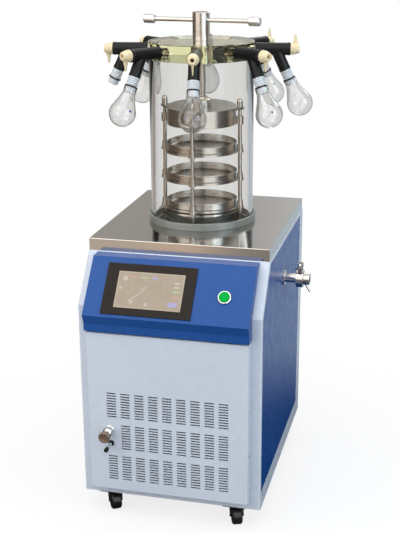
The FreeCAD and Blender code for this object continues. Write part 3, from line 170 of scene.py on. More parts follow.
def together(*shapes):
    """Several shapes in one mesh."""
    whole = bmesh.new()
    for shape in shapes:
        mesh = bpy.data.meshes.new("part")
        shape.to_mesh(mesh)
        shape.free()
        whole.from_mesh(mesh)
        bpy.data.meshes.remove(mesh)
    return whole


def plain_object(shape):
    mesh = bpy.data.meshes.new("work")
    shape.to_mesh(mesh)
    shape.free()
    thing = bpy.data.objects.new("work", mesh)
    scene.collection.objects.link(thing)
    return thing


def result_of(thing, *tools):
    """The mesh of a work object with its modifiers, which are then gone with it."""
    bpy.context.view_layer.update()
    graph = bpy.context.evaluated_depsgraph_get()
    evaluated = thing.evaluated_get(graph)
    shape = bmesh.new()
    shape.from_mesh(evaluated.to_mesh())
    evaluated.to_mesh_clear()
    for item in (thing, *tools):
        mesh = item.data
        bpy.data.objects.remove(item)
        bpy.data.meshes.remove(mesh)
    return shape


def carved(base, *steps):
    """A shape joined with or cut by others, each step a boolean operation and a shape."""
    thing = plain_object(base)
    tools = []
    for operation, shape in steps:
        tool = plain_object(shape)
        cut = thing.modifiers.new("cut", "BOOLEAN")
        cut.operation = operation
        cut.object = tool
        cut.solver = "EXACT"
        tools.append(tool)
    return result_of(thing, *tools)


def fused(shape, voxel, passes, share):
    """One skin over overlapping solids, smoothed where they meet and thinned to a share of its faces."""
    thing = plain_object(shape)
    skin = thing.modifiers.new("skin", "REMESH")
    skin.mode = "VOXEL"
    skin.voxel_size = voxel * MM
    soft = thing.modifiers.new("soft", "SMOOTH")
    soft.factor = 0.5
    soft.iterations = passes
    thin = thing.modifiers.new("thin", "DECIMATE")
    thin.ratio = share
    return result_of(thing)


def shaded(shape, name, finishes, sharp=SHARP):
    """The mesh with smooth shading that breaks at its sharp edges."""
    for face in shape.faces:
        face.smooth = True
    for edge in shape.edges:
        edge.smooth = not (len(edge.link_faces) == 2 and edge.calc_face_angle(0) > sharp)
    mesh = bpy.data.meshes.new(name)
    shape.to_mesh(mesh)
    shape.free()
    for finish in finishes:
        mesh.materials.append(FINISHES[finish])
    return mesh


def piece(name, mesh, body, place=Matrix(), stands_for=()):
    """An object of that mesh which rides on a CAD body."""
    thing = bpy.data.objects.new(name, mesh)
    scene.collection.objects.link(thing)
    thing.matrix_world = place
    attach(thing, body)
    if stands_for:
        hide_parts(*stands_for)
    return thing


# ---- finishes ------------------------------------------------------------------------------------
def linked_math(nodes, links, operation, *values):
    """The result of a math node fed by numbers or by other nodes' outputs."""
    node = nodes.new("ShaderNodeMath")
    node.operation = operation
    for socket, value in zip(node.inputs, values):
        if isinstance(value, (int, float)):
            socket.default_value = value
        else:
            links.new(value, socket)
    return node.outputs["Value"]


class Finish:
    """A node material: a Principled shader whose colour, roughness and normal come from noise."""

    def __init__(self, name, **sockets):
        self.material = bpy.data.materials.new(name)
        self.material.use_nodes = True
        self.nodes = self.material.node_tree.nodes
        self.links = self.material.node_tree.links
        self.shader = self.nodes["Principled BSDF"]
        for key, value in sockets.items():
            self.shader.inputs[key.replace("_", " ").title().replace("Ior", "IOR")].default_value = value
        place = self.nodes.new("ShaderNodeTexCoord")
        self.place = place.outputs["Object"]

    def noise(self, scale, detail=3.0, rough=0.55, distortion=0.0):
        """Noise whose grain is that many to the metre, one number or one for each axis."""
        texture = self.nodes.new("ShaderNodeTexNoise")
        texture.inputs["Detail"].default_value = detail
        texture.inputs["Roughness"].default_value = rough
        texture.inputs["Distortion"].default_value = distortion
        if isinstance(scale, tuple):
            stretch = self.nodes.new("ShaderNodeMapping")
            stretch.inputs["Scale"].default_value = scale
            self.links.new(self.place, stretch.inputs["Vector"])
            self.links.new(stretch.outputs["Vector"], texture.inputs["Vector"])
            texture.inputs["Scale"].default_value = 1.0
        else:
            self.links.new(self.place, texture.inputs["Vector"])
            texture.inputs["Scale"].default_value = scale
        return texture.outputs["Fac"]

    def spread(self, source, low, high, start=0.3, end=0.7):
        """The source's range from start to end, carried over to low to high."""
        carry = self.nodes.new("ShaderNodeMapRange")
        carry.inputs["From Min"].default_value = start
        carry.inputs["From Max"].default_value = end
        carry.inputs["To Min"].default_value = low
        carry.inputs["To Max"].default_value = high
        self.links.new(source, carry.inputs["Value"])
        return carry.outputs["Result"]

    def math(self, operation, one, other):
        return linked_math(self.nodes, self.links, operation, one, other)

    def colour(self, one, other, share):
        """The base colour, between two colours by a share, either of which may come from a node."""
        mix = self.nodes.new("ShaderNodeMix")
        mix.data_type = "RGBA"
        for socket, value in ((mix.inputs[6], one), (mix.inputs[7], other)):
            if isinstance(value, tuple):
                socket.default_value = (*value, 1)
            else:
                self.links.new(value, socket)
        self.links.new(share, mix.inputs[0])
        self.links.new(mix.outputs[2], self.shader.inputs["Base Color"])
        return mix.outputs[2]

    def roughness(self, source):
        self.links.new(source, self.shader.inputs["Roughness"])

    def relief(self, source, height, strength=1.0, edge=0.0):
        """A bump of that height in millimetres, over edges rounded by edge millimetres."""
        bump = self.nodes.new("ShaderNodeBump")
        bump.inputs["Strength"].default_value = strength
        bump.inputs["Distance"].default_value = height * MM
        self.links.new(source, bump.inputs["Height"])
        if edge:
            bevel = self.nodes.new("ShaderNodeBevel")
            bevel.samples = 4
            bevel.inputs["Radius"].default_value = edge * MM
            self.links.new(bevel.outputs["Normal"], bump.inputs["Normal"])
        self.links.new(bump.outputs["Normal"], self.shader.inputs["Normal"])

    def lets_lamps_through(self, tint):
        """Light from the lamps passes straight through, so that what is behind the glass is lit."""
        path = self.nodes.new("ShaderNodeLightPath")
        clear = self.nodes.new("ShaderNodeBsdfTransparent")
        clear.inputs["Color"].default_value = (*tint, 1)
        mix = self.nodes.new("ShaderNodeMixShader")
        output = self.nodes["Material Output"]
        self.links.new(path.outputs["Is Shadow Ray"], mix.inputs["Fac"])
        self.links.new(self.shader.outputs["BSDF"], mix.inputs[1])
        self.links.new(clear.outputs["BSDF"], mix.inputs[2])
        self.links.new(mix.outputs["Shader"], output.inputs["Surface"])


def darker(colour, share):
    return tuple(value * share for value in colour)


def paint(name, colour, gloss):
    """Powder coat: an even colour with a fine orange peel."""
    finish = Finish(name, specular_ior_level=gloss)
    finish.colour(darker(colour, 0.94), darker(colour, 1.04), finish.noise(7, 4))
    finish.roughness(finish.spread(finish.noise(35, 3), 0.24, 0.34))
    finish.relief(finish.noise(900, 2), 0.02, 0.5, edge=0.7)
    return finish.material


def metal(name, colour, grain, rough, streak=0.05, edge=0.4):
    """Bare metal, its brush marks drawn out along one axis by the grain's three scales."""
    finish = Finish(name, metallic=1.0)
    lines = finish.noise(grain, 5, 0.7)
    cloud = finish.noise(9, 3)
    finish.colour(darker(colour, 1 - 3 * streak), darker(colour, 1 + streak),
                  finish.math("ADD", finish.math("MULTIPLY", lines, 0.65),
                              finish.math("MULTIPLY", cloud, 0.35)))
    finish.roughness(finish.math("ADD", finish.spread(lines, rough[0], rough[1]),
                                 finish.spread(cloud, 0, 0.04)))
    finish.relief(lines, 0.003, 0.4, edge=edge)
    return finish.material


def moulded(name, colour, rough, grain=1400, height=0.01, edge=0.4, **sockets):
    """Moulded plastic or rubber with a fine surface grain."""
    finish = Finish(name, **sockets)
    finish.colour(darker(colour, 0.85), darker(colour, 1.12), finish.noise(60, 4))
    finish.roughness(finish.spread(finish.noise(110, 3), rough[0], rough[1]))
    finish.relief(finish.noise(grain, 2), height, 0.6, edge=edge)
    return finish.material


def clear(name, colour, tint, streaks, ior=1.49, depth=None):
    """Clear acrylic or glass, faintly streaked; depth is the colour and density of a thick block."""
    finish = Finish(name, ior=ior, roughness=0.0, transmission_weight=1.0)
    finish.colour(darker(colour, 0.93), darker(colour, 1.05), finish.noise(streaks, 3))
    finish.lets_lamps_through(tint)
    if depth:
        block = finish.nodes.new("ShaderNodeVolumeAbsorption")
        block.inputs["Color"].default_value = (*depth[0], 1)
        block.inputs["Density"].default_value = depth[1]
        finish.links.new(block.outputs["Volume"], finish.nodes["Material Output"].inputs["Volume"])
    return finish.material


FINISHES = {
    "white_paint": paint("white_paint", (0.60, 0.65, 0.73), 0.3),
    "blue_paint": paint("blue_paint", (0.009, 0.074, 0.285), 0.22),
    "stainless_steel": metal("stainless_steel", (0.60, 0.57, 0.53), (8, 8, 900), (0.14, 0.26)),
    "polished_steel": metal("polished_steel", (0.60, 0.585, 0.56), (1100, 14, 14), (0.07, 0.15), 0.03),
    "chrome_trim": metal("chrome_trim", (0.74, 0.73, 0.71), (300, 300, 300), (0.05, 0.12), 0.02),
    "zinc_steel": metal("zinc_steel", (0.5, 0.51, 0.52), (60, 60, 60), (0.3, 0.45), 0.06),
    "satin_aluminium": metal("satin_aluminium", (0.72, 0.72, 0.73), (900, 900, 900), (0.3, 0.42)),
    "aluminium_fin": metal("aluminium_fin", (0.30, 0.28, 0.25), (20, 20, 700), (0.35, 0.5)),
    "copper_tube": metal("copper_tube", (0.72, 0.36, 0.22), (200, 200, 200), (0.25, 0.4)),
    "bronze_knob": metal("bronze_knob", (0.27, 0.22, 0.18), (700, 700, 700), (0.25, 0.4)),
    "black_paint": moulded("black_paint", (0.02, 0.02, 0.022), (0.25, 0.4)),
    "black_rubber": moulded("black_rubber", (0.008, 0.008, 0.009), (0.26, 0.36), 900, 0.02,
                            specular_ior_level=0.22),
    "seal_rubber": moulded("seal_rubber", (0.24, 0.25, 0.23), (0.12, 0.2), 300, 0.003,
                           transmission_weight=0.2),
    "caster_tyre": moulded("caster_tyre", (0.012, 0.012, 0.013), (0.22, 0.36), 500, 0.02),
    "black_plastic": moulded("black_plastic", (0.022, 0.017, 0.014), (0.3, 0.4), 1600, 0.01,
                             specular_ior_level=0.1),
    "cream_plastic": moulded("cream_plastic", (0.80, 0.66, 0.42), (0.35, 0.5), 700, 0.02,
                             subsurface_weight=0.15),
    "white_plastic": moulded("white_plastic", (0.66, 0.68, 0.70), (0.22, 0.34), 900, 0.01,
                             subsurface_weight=0.1),
    "green_plastic": moulded("green_plastic", (0.001, 0.38, 0.05), (0.2, 0.3), 900, 0.01,
                             specular_ior_level=0.03),
    "screen_face": moulded("screen_face", (0.36, 0.285, 0.215), (0.3, 0.4), 2500, 0.004,
                           specular_ior_level=0.3),
    "foam": moulded("foam", (0.02, 0.02, 0.02), (0.8, 0.95), 260, 0.3),
    "clear_acrylic": clear("clear_acrylic", (0.84, 0.84, 0.83), (0.88, 0.88, 0.87), (45, 45, 1.5), 1.2),
    "lid_acrylic": clear("lid_acrylic", (0.92, 0.92, 0.80), (0.84, 0.84, 0.78), (25, 25, 25), 1.35,
                         ((0.80, 0.78, 0.35), 4.0)),
    "flask_glass": clear("flask_glass", (0.86, 0.865, 0.86), (0.88, 0.88, 0.88), (40, 40, 12), 1.47),
    "blue_print": moulded("blue_print", (0.03, 0.07, 0.38), (0.4, 0.5)),
    "screen_pale": moulded("screen_pale", (0.50, 0.42, 0.33), (0.3, 0.4), specular_ior_level=0.3),
    "screen_lilac": moulded("screen_lilac", (0.36, 0.32, 0.50), (0.3, 0.4), specular_ior_level=0.3),
    "screen_green": moulded("screen_green", (0.37, 0.41, 0.24), (0.3, 0.4), specular_ior_level=0.3),
    "screen_peach": moulded("screen_peach", (0.46, 0.29, 0.22), (0.3, 0.4), specular_ior_level=0.3),
}

# every CAD node takes the finish of its own material slot
for name, thing in frame["nodes"].items():
    for slot in thing.material_slots:
        slot.material = FINISHES[slot.material.name.split(".")[0]]


# ---- drying chamber ------------------------------------------------------------------------------
def height_of(point):
    """A point's height in millimetres."""
    return point.z / MM


tube_low, tube_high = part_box("chamber_tube")
TUBE_R = (tube_high.x - tube_low.x) / 2 / MM
TUBE_WALL = 10.2
tube_profile = rounded([(TUBE_R - TUBE_WALL, height_of(tube_low) + 0.1, 0.8),
                        (TUBE_R, height_of(tube_low) + 0.1, 0.8),
                        (TUBE_R, height_of(tube_high) - 0.2, 1.0),
                        (TUBE_R - TUBE_WALL, height_of(tube_high) - 0.2, 1.0)], 3)
piece("tube", shaded(lathe(tube_profile, 192), "tube", ["clear_acrylic"]), "cabinet", at(AXIS),
      ["chamber_tube"])

seal_low, seal_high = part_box("base_seal")
SEAL_R = (seal_high.x - seal_low.x) / 2 / MM
SEAL_INSIDE, SEAL_FLOOR = TUBE_R - 12.7, 5
seal_profile = rounded([(SEAL_INSIDE, height_of(seal_low), 1.0), (SEAL_R, height_of(seal_low), 1.0),
                        (SEAL_R, height_of(seal_high), 3.0),
                        (TUBE_R + 0.3, height_of(seal_high), 1.2),
                        (TUBE_R + 0.3, height_of(seal_low) + SEAL_FLOOR, 0),
                        (SEAL_INSIDE, height_of(seal_low) + SEAL_FLOOR, 2.0)], 4)
piece("seal_ring", shaded(lathe(seal_profile, 160), "seal_ring", ["seal_rubber"]), "cabinet",
      at(AXIS), ["base_seal"])


def screw_thread(core, crest, pitch, low, high, segments=48, rows=10):
    """A screw's surface with a trapezoid thread."""
    shape = bmesh.new()
    count = int((high - low) / pitch * rows)
    rings = []
    for row in range(count + 1):
        height = low + (high - low) * row / count
        ring = []
        for index in range(segments):
            phase = (height / pitch - index / segments) % 1
            flank = min(1, max(0, 2.5 - abs(phase - 0.5) * 8))
            radius = core + (crest - core) * flank
            angle = math.tau * index / segments
            ring.append(shape.verts.new((radius * MM * math.cos(angle), radius * MM * math.sin(angle),
                                         height * MM)))
        rings.append(ring)
    for one, other in zip(rings, rings[1:]):
        for index in range(segments):
            turn = (index + 1) % segments
            shape.faces.new((one[index], one[turn], other[turn], other[index]))
    shape.faces.new(list(reversed(rings[0])))
    shape.faces.new(rings[-1])
    return shape


screw_low, screw_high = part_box("press_screw")
SCREW_CORE, SCREW_CREST, SCREW_PITCH = 9.4, 11, 4
FOOT_R, FOOT_HIGH = 23.5, 21
foot_top = height_of(screw_low) + FOOT_HIGH
foot = lathe(rounded([(0, height_of(screw_low), 0), (FOOT_R, height_of(screw_low), 1),
                      (FOOT_R, foot_top - 6, 1.5), (17, foot_top - 4, 2), (14, foot_top, 1.5),
                      (0, foot_top, 0)], 3), 64)
thread = screw_thread(SCREW_CORE, SCREW_CREST, SCREW_PITCH, foot_top - 1, height_of(screw_high))
piece("lead_screw", shaded(together(foot, thread), "lead_screw", ["stainless_steel"]), "press_ram",
      at(AXIS), ["press_screw"])

tray_low, tray_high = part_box("rack_trays")
TRAY_R = (tray_high.x - tray_low.x) / 2 / MM
TRAY_DEEP, TRAYS = 17, 3
tray_step = (height_of(tray_high) - height_of(tray_low) - TRAY_DEEP) / (TRAYS - 1)
tray_mesh = shaded(lathe(rounded([(0, 0, 0), (TRAY_R - 1.6, 0, 1.6), (TRAY_R - 1.6, 14.2, 0.4),
                                  (TRAY_R, 14.8, 0.7), (TRAY_R, TRAY_DEEP, 1.0),
                                  (TRAY_R - 2.8, TRAY_DEEP, 1.0), (TRAY_R - 2.8, 1.2, 1.8),
                                  (0, 1.2, 0)], 4), 160), "tray", ["stainless_steel"])
for level in range(TRAYS):
    lift = Vector((0, 0, tray_low.z + level * tray_step * MM))
    piece(f"tray_{level + 1}", tray_mesh, "cabinet", at(AXIS + lift),
          ["rack_trays"] if level == 0 else ())


# ---- flask valves --------------------------------------------------------------------------------
ARM_START, ARM_END, ARM_R, ARM_BORE = 124.0, 205.0, 14.25, 11.05
BRANCH_R, BRANCH_BORE, BRANCH_LENGTH = 13.0, 8.55, 52.5
NIPPLE_START, NIPPLE_END, NIPPLE_R, NIPPLE_BORE = 96.0, 149.7, 10.9, 7


def rod(radius, length, segments=64):
    """A plain cylinder that stands on its own middle."""
    return lathe([(0, 0), (radius, 0), (radius, length), (0, length)], segments)


def rubber_valve():
    """Rubber arm and branch with rolled lips at their open ends, fused into one skin and bored."""
    along = moved(ARM_START, 0, 0) @ turned("Y", 90)
    down = moved(BRANCH_OUT, 0, 0) @ turned("Y", 180 - BRANCH_TILT)
    length = ARM_END - ARM_START
    lip = 0.7
    arm = lathe(rounded([(0, 0, 0), (ARM_R + lip, 0, 1.6), (ARM_R + lip, 5, 1.2), (ARM_R, 7, 1),
                         (ARM_R, length - 6.5, 1), (ARM_R + lip, length - 4.5, 1.2),
                         (ARM_R + lip, length, 1.6), (0, length, 0)], 4), 72)
    branch = lathe(rounded([(0, 0, 0), (BRANCH_R, 0, 0), (BRANCH_R, BRANCH_LENGTH - 6, 1),
                            (BRANCH_R + lip, BRANCH_LENGTH - 4, 1), (BRANCH_R + lip, BRANCH_LENGTH, 1.4),
                            (0, BRANCH_LENGTH, 0)], 4), 72)
    skin = fused(together(moved_shape(arm, along), moved_shape(branch, down)), 0.9, 4, 0.35)
    bore = moved_shape(rod(ARM_BORE, length + 4), along @ moved(0, 0, -2))
    branch_bore = moved_shape(rod(BRANCH_BORE, BRANCH_LENGTH + 2), down)
    return carved(skin, ("DIFFERENCE", bore), ("DIFFERENCE", branch_bore))


def plug(way):
    """Turning plug: a fluted head with its vent hole, the stem inside the arm and the side handle."""
    head, tip = ARM_END + 0.3, ARM_END + 20.8

    def flutes(angle, radius, height):
        inside = 1 if head + 6 < height < head + 10.8 and radius > 12.3 else 0
        return -0.45 * inside * (0.5 + 0.5 * math.cos(24 * angle)) ** 2

    body = lathe(rounded([(0, 152, 0), (11, 152, 0.8), (11, head, 0), (13.5, head, 1.0),
                          (13.5, head + 3.6, 0.8), (12.2, head + 4.4, 0.4), (12.2, head + 5.6, 0.4),
                          (12.9, head + 6.4, 0.6), (12.7, head + 10.4, 0.8), (11.5, head + 11.4, 0.5),
                          (10.3, tip - 3.5, 1.5), (8.9, tip, 1.3), (4.25, tip, 0.8),
                          (4.25, ARM_END - 15, 0), (0, ARM_END - 15, 0)], 4), 144, flute=flutes)
    body = moved_shape(body, turned("Y", 90))
    handle = lathe(rounded([(0, 8, 0), (6.2, 8, 0), (5.6, 13, 0), (3.6, 22, 6), (2.2, 31, 4),
                            (1.5, 33, 0.9), (0, 33.2, 0)], 3), 32)
    spin = turned("Y", 0 if way > 0 else 180)
    flat = Matrix.Diagonal((1.1, 0.55, 1, 1))
    handle = moved_shape(handle, moved(head + 10.7, 0, 0) @ spin @ flat)
    return carved(body, ("UNION", handle))


def adaptor():
    """Ribbed adaptor between a branch and a flask's neck."""
    start, rib_end = BRANCH_LENGTH, BRANCH_LENGTH + 21
    corners = [(6, start - 24, 0.5), (8.45, start - 24, 0.5), (8.45, start, 0.4), (12.6, start, 0.6)]
    for rib in range(4):
        low = start + 1.2 + rib * 4.7
        corners += [(13, low, 0.5), (13, low + 2.5, 0.5), (11.1, low + 3.2, 0.4), (11.1, low + 4.1, 0.4)]
    corners += [(13, rib_end - 0.8, 0.4), (12.4, rib_end, 0.4), (12.3, rib_end + 8, 0),
                (11.6, rib_end + 15.5, 0.6), (6, rib_end + 15.5, 0.5)]
    return lathe(rounded(corners, 3), 80)


def ring(major, minor, height, segments=72, round_steps=12):
    """A round cord bent to a ring, such as an O-ring."""
    profile = [(major + minor * math.cos(math.tau * step / round_steps),
                height + minor * math.sin(math.tau * step / round_steps))
               for step in range(round_steps)]
    return lathe(profile, segments)


NECK_R, BULB_R, BULB_AT, GLASS = 14.5, 30.0, 136.0, 1.7
PRINT_WIDE, PRINT_HIGH, PRINT_LIFT, PRINT_STEPS = 3.4, 2.6, 0.08, 20
NECK_FROM = BRANCH_LENGTH + 24


def flask():
    """Pear-shaped flask with a ground neck: outer wall, rolled lip and inner wall in one profile."""
    slope = math.radians(24)

    def wall(neck, bulb):
        points = []
        tangent = (bulb * math.cos(slope), BULB_AT - bulb * math.sin(slope))
        run = (tangent[0] - neck) / math.tan(slope)
        waist = (neck, tangent[1] - run)
        for step in range(17):
            share = step / 16
            # a quadratic curve from the straight neck into the bulb, through the waist's corner
            begin = (neck, waist[1] - 9)
            one = (1 - share) ** 2
            two = 2 * share * (1 - share)
            three = share ** 2
            points.append((one * begin[0] + two * waist[0] + three * tangent[0],
                           one * begin[1] + two * waist[1] + three * tangent[1]))
        for step in range(1, 31):
            angle = -slope + (math.pi / 2 + slope) * step / 30
            points.append((bulb * math.cos(angle) if step < 30 else 0,
                           BULB_AT + bulb * math.sin(angle)))
        return points

    outer = wall(NECK_R, BULB_R)
    inner = wall(NECK_R - GLASS, BULB_R - GLASS)
    lip = rounded([(NECK_R - GLASS, NECK_FROM + 2, 0), (NECK_R - GLASS, NECK_FROM, 0.5),
                   (NECK_R + 0.7, NECK_FROM, 0.7), (NECK_R + 0.7, NECK_FROM + 2.2, 0.7),
                   (NECK_R, NECK_FROM + 3, 0)], 3)
    return lathe(lip + outer + list(reversed(inner)), 96)


def print_mark():
    """A small oval of blue print on the flask's shoulder."""
    shape = bmesh.new()
    rows = []
    for ring_index in range(5):
        row = []
        for step in range(PRINT_STEPS):
            angle = math.tau * step / PRINT_STEPS
            across = PRINT_WIDE * ring_index / 4 * math.cos(angle)
            up = PRINT_HIGH * ring_index / 4 * math.sin(angle)
            turn = Matrix.Rotation(across / BULB_R, 3, "Z")
            tip = Matrix.Rotation(-(up / BULB_R) + math.radians(14), 3, "Y")
            point = turn @ tip @ Vector((BULB_R + PRINT_LIFT, 0, 0))
            row.append(shape.verts.new((point.x * MM, point.y * MM, (point.z + BULB_AT) * MM)))
        rows.append(row)
    for one, other in zip(rows, rows[1:]):
        for step in range(PRINT_STEPS):
            turn = (step + 1) % PRINT_STEPS
            shape.faces.new((one[step], one[turn], other[turn], other[step]))
    bmesh.ops.remove_doubles(shape, verts=shape.verts, dist=1e-6)
    return shape


valve_mesh = shaded(rubber_valve(), "rubber_valve", ["black_rubber"], math.radians(50))
plug_meshes = {way: shaded(plug(way), "plug", ["cream_plastic"]) for way in (1, -1)}
adaptor_mesh = shaded(adaptor(), "adaptor", ["white_plastic"])
o_ring_mesh = shaded(ring(13.0, 1.9, BRANCH_LENGTH + 22.0), "o_ring", ["black_rubber"])
flask_mesh = shaded(flask(), "flask", ["flask_glass"], math.radians(60))
mark_mesh = shaded(print_mark(), "print_mark", ["blue_print"])
nipple = lathe(rounded([(NIPPLE_BORE, NIPPLE_START, 0.4), (NIPPLE_R, NIPPLE_START, 0.4),
                        (NIPPLE_R, NIPPLE_END, 1), (NIPPLE_BORE, NIPPLE_END, 0.4)], 3), 64)
nipple_mesh = shaded(moved_shape(nipple, turned("Y", 90)), "nipple", ["stainless_steel"])
MARK_TURNS = {2: 95, 3: -40, 4: 60, 5: 10, 6: 150, 7: 100, 8: 170}

for index in VALVES:
    spot = valve_place(index)
    branch = branch_place(index)
    plug_low, plug_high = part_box(f"valve_plug_{index}")
    way = 1 if (plug_high.z + plug_low.z) / 2 > VALVE_Z else -1
    first = index == 1
    piece(f"valve_{index}", valve_mesh, "cabinet", spot,
          ["valve_bodies"] if first else ())
    piece(f"plug_{index}_knob", plug_meshes[way], f"plug_{index}", spot,
          [f"valve_plug_{index}"])
    piece(f"nipple_{index}", nipple_mesh, "cabinet", spot,
          ["port_nipples"] if first else ())
    piece(f"adaptor_{index}", adaptor_mesh, "cabinet", branch,
          ["flask_adaptors"] if first else ())
    piece(f"adaptor_{index}_ring", o_ring_mesh, "cabinet", branch)
    if index > 1:
        piece(f"flask_{index}", flask_mesh, "cabinet", branch,
              ["flasks"] if index == 2 else ())
        piece(f"flask_{index}_mark", mark_mesh, "cabinet",
              branch @ turned("Z", MARK_TURNS[index]))


# ---- screen marks: a display of plain shapes -----------------------------------------------------
SLOPE = 50.41
MARK_LOW, MARK_HIGH = 0.8, 0.95
screen = at(middle("screen_glass")) @ turned("X", SLOPE)


def pill(x, y, width, height, radius):
    """A flat mark with round corners, its middle at x, y on the screen."""
    corners = [(x + sx * width / 2, y + sy * height / 2, radius)
               for sx, sy in ((-1, -1), (1, -1), (1, 1), (-1, 1))]
    return prism(rounded(corners, 4), MARK_LOW, MARK_HIGH)


def bar_between(start, end, width):
    """A flat straight mark from one point of the screen to another."""
    run = Vector(end) - Vector(start)
    side = Vector((-run.y, run.x)).normalized() * width / 2
    corners = [Vector(start) + side, Vector(start) - side, Vector(end) - side, Vector(end) + side]
    return prism([tuple(corner) for corner in corners], MARK_LOW, MARK_HIGH)


SCREEN_MARKS = {
    "screen_pale": [pill(0, 41.2, 149, 1.4, 0.4), pill(0, -41.2, 149, 1.4, 0.4),
                    pill(-73.8, 0, 1.4, 80, 0.4), pill(73.8, 0, 1.4, 80, 0.4),
                    pill(-59, 26, 12, 12, 5.9), pill(-66, 3.5, 7, 7, 3.4), pill(-38, -28, 8, 8, 3.9),
                    pill(-4, -31.5, 8, 8, 3.9), pill(60, 21.5, 12, 5, 1.2), pill(60, 12, 12, 5, 1.2),
                    bar_between((-44, -26), (-20, -6), 2.6), bar_between((-20, -6), (-10, 9), 2.6)],
    "screen_lilac": [pill(56, -28, 21, 10, 1.5), pill(8, 30.5, 15, 5, 2.4)],
    "screen_green": [pill(-15.5, 30.5, 17, 5, 2.4), pill(60, 1, 17, 6, 1.5)],
    "screen_peach": [pill(-42, 30.5, 14, 5, 2.4), pill(60, -11, 17, 6, 1.5)],
}
for finish, marks in SCREEN_MARKS.items():
    piece(f"{finish}_marks", shaded(together(*marks), finish, [finish]), "cabinet", screen)


# ---- drain valve and spout -----------------------------------------------------------------------
drain_spot = at(Vector(joints["drain_turn"]["pos_m"])) @ turned("X", 90)


def ball(radius, height, start, end, steps=16):
    """Points of a ball's outline between two heights counted from its middle."""
    first, last = math.asin(start / radius), math.asin(end / radius)
    angles = [first + (last - first) * step / steps for step in range(steps + 1)]
    return [(radius * math.cos(angle), height + radius * math.sin(angle)) for angle in angles]


def knurl(angle, radius, height):
    """Straight grooves round the knob's widest rims."""
    return -0.45 * (0.5 + 0.5 * math.cos(40 * angle)) if radius > 12.4 else 0


drain_body = lathe([(0, -24), (8, -24), (8, -8), (13, -8), (13, -2), (8, -2), (8, 0), (10.5, 0),
                    (10.5, 1.5)] + ball(12.5, 12.5, -9.5, 9.5)
                   + [(7.2, 22.6), (7.2, 26), (6, 26.6), (6, 33), (3.1, 33), (3.1, 13), (0, 13)], 72)
piece("drain_body", shaded(drain_body, "drain_body", ["chrome_trim"]), "cabinet", drain_spot,
      ["drain_valve"])
drain_knob = lathe(rounded([(0, 13.3, 0), (3, 13.3, 0.4), (3, 35, 0), (11.8, 35, 0.8), (13, 36, 0.5),
                            (13, 39.2, 0.3), (11.8, 39.8, 0.3), (11.8, 40.4, 0.3), (13, 41, 0.3),
                            (13, 44, 0.5), (11.8, 45, 0.8), (8.5, 45, 0.5), (8, 44.4, 0.3),
                            (0, 44.4, 0)], 3), 160, flute=knurl)
piece("drain_handwheel_disc", shaded(drain_knob, "drain_knob", ["bronze_knob"]), "drain_handwheel",
      drain_spot, ["drain_knob"])
spout_spot = at(Vector((middle("drain_spout").x, drain_spot.translation.y,
                        middle("drain_spout").z))) @ turned("X", 90)
spout = lathe([(2.5, -15), (4, -15), (4, 35), (2.5, 35)], 48)
piece("spout_pipe", shaded(spout, "spout_pipe", ["chrome_trim"]), "cabinet", spout_spot,
      ["drain_spout"])
grommet = lathe(rounded([(4.05, 0, 0.3), (7, 0, 0.4), (7, 3, 1), (5.5, 4, 1), (4.05, 4, 0.3)], 3), 48)
tip = lathe(rounded([(4.05, 30, 0.3), (4.8, 30, 0.5), (4.8, 40, 0.9), (2.5, 40, 0.5),
                     (2.5, 35.2, 0.2), (4.05, 35.2, 0.2)], 3), 48)
piece("spout_rubber", shaded(together(grommet, tip), "spout_rubber", ["black_rubber"]), "cabinet",
      spout_spot)


# ---- stage: floor, lamps and camera --------------------------------------------------------------
# what polished surfaces show of the studio, by compass direction from +X round to +Y
DARK_SIDE = (0.17, 0.13, 0.10)
SHADED_FRONT = (0.22, 0.20, 0.18)
WINDOW = (1.75, 1.75, 1.75)
DIM_RIGHT = (0.12, 0.10, 0.09)
STUDIO = ((-180, DARK_SIDE), (-158, DARK_SIDE), (-148, (0.55, 0.42, 0.31)),
          (-140, (0.95, 0.76, 0.60)), (-112, (0.70, 0.60, 0.51)), (-104, (0.90, 0.68, 0.51)),
          (-99, (0.42, 0.38, 0.34)), (-88, SHADED_FRONT), (-74, SHADED_FRONT),
          (-66, (1.75, 1.75, 1.72)), (-34, WINDOW), (-24, (0.50, 0.50, 0.50)), (-18, DIM_RIGHT),
          (16, DIM_RIGHT), (30, (0.60, 0.50, 0.41)), (44, (0.60, 0.52, 0.44)),
          (60, (0.46, 0.51, 0.55)), (80, (0.52, 0.61, 0.68)), (98, (0.66, 0.66, 0.66)),
          (104, (0.42, 0.40, 0.37)), (125, (0.52, 0.50, 0.47)), (150, DARK_SIDE), (180, DARK_SIDE))


def studio_ring(nodes, links, place):
    """The studio's bright and dark sides as a colour, from a place or a direction."""
    parts = nodes.new("ShaderNodeSeparateXYZ")
    links.new(place, parts.inputs[0])
    angle = linked_math(nodes, links, "ARCTAN2", parts.outputs["Y"], parts.outputs["X"])
    share = linked_math(nodes, links, "MULTIPLY_ADD", angle, 1 / math.tau, 0.5)
    ramp = nodes.new("ShaderNodeValToRGB")
    stops = ramp.color_ramp.elements
    while len(stops) < len(STUDIO):
        stops.new(1.0)
    for stop, (degrees, colour) in zip(stops, STUDIO):
        stop.position = degrees / 360 + 0.5
        stop.color = (*colour, 1)
    links.new(share, ramp.inputs["Fac"])
    return ramp.outputs["Color"]


def blended(nodes, links, share, one, other):
    """One shader fading into another by a share."""
    mix = nodes.new("ShaderNodeMixShader")
    links.new(share, mix.inputs["Fac"])
    links.new(one, mix.inputs[1])
    links.new(other, mix.inputs[2])
    return mix.outputs["Shader"]


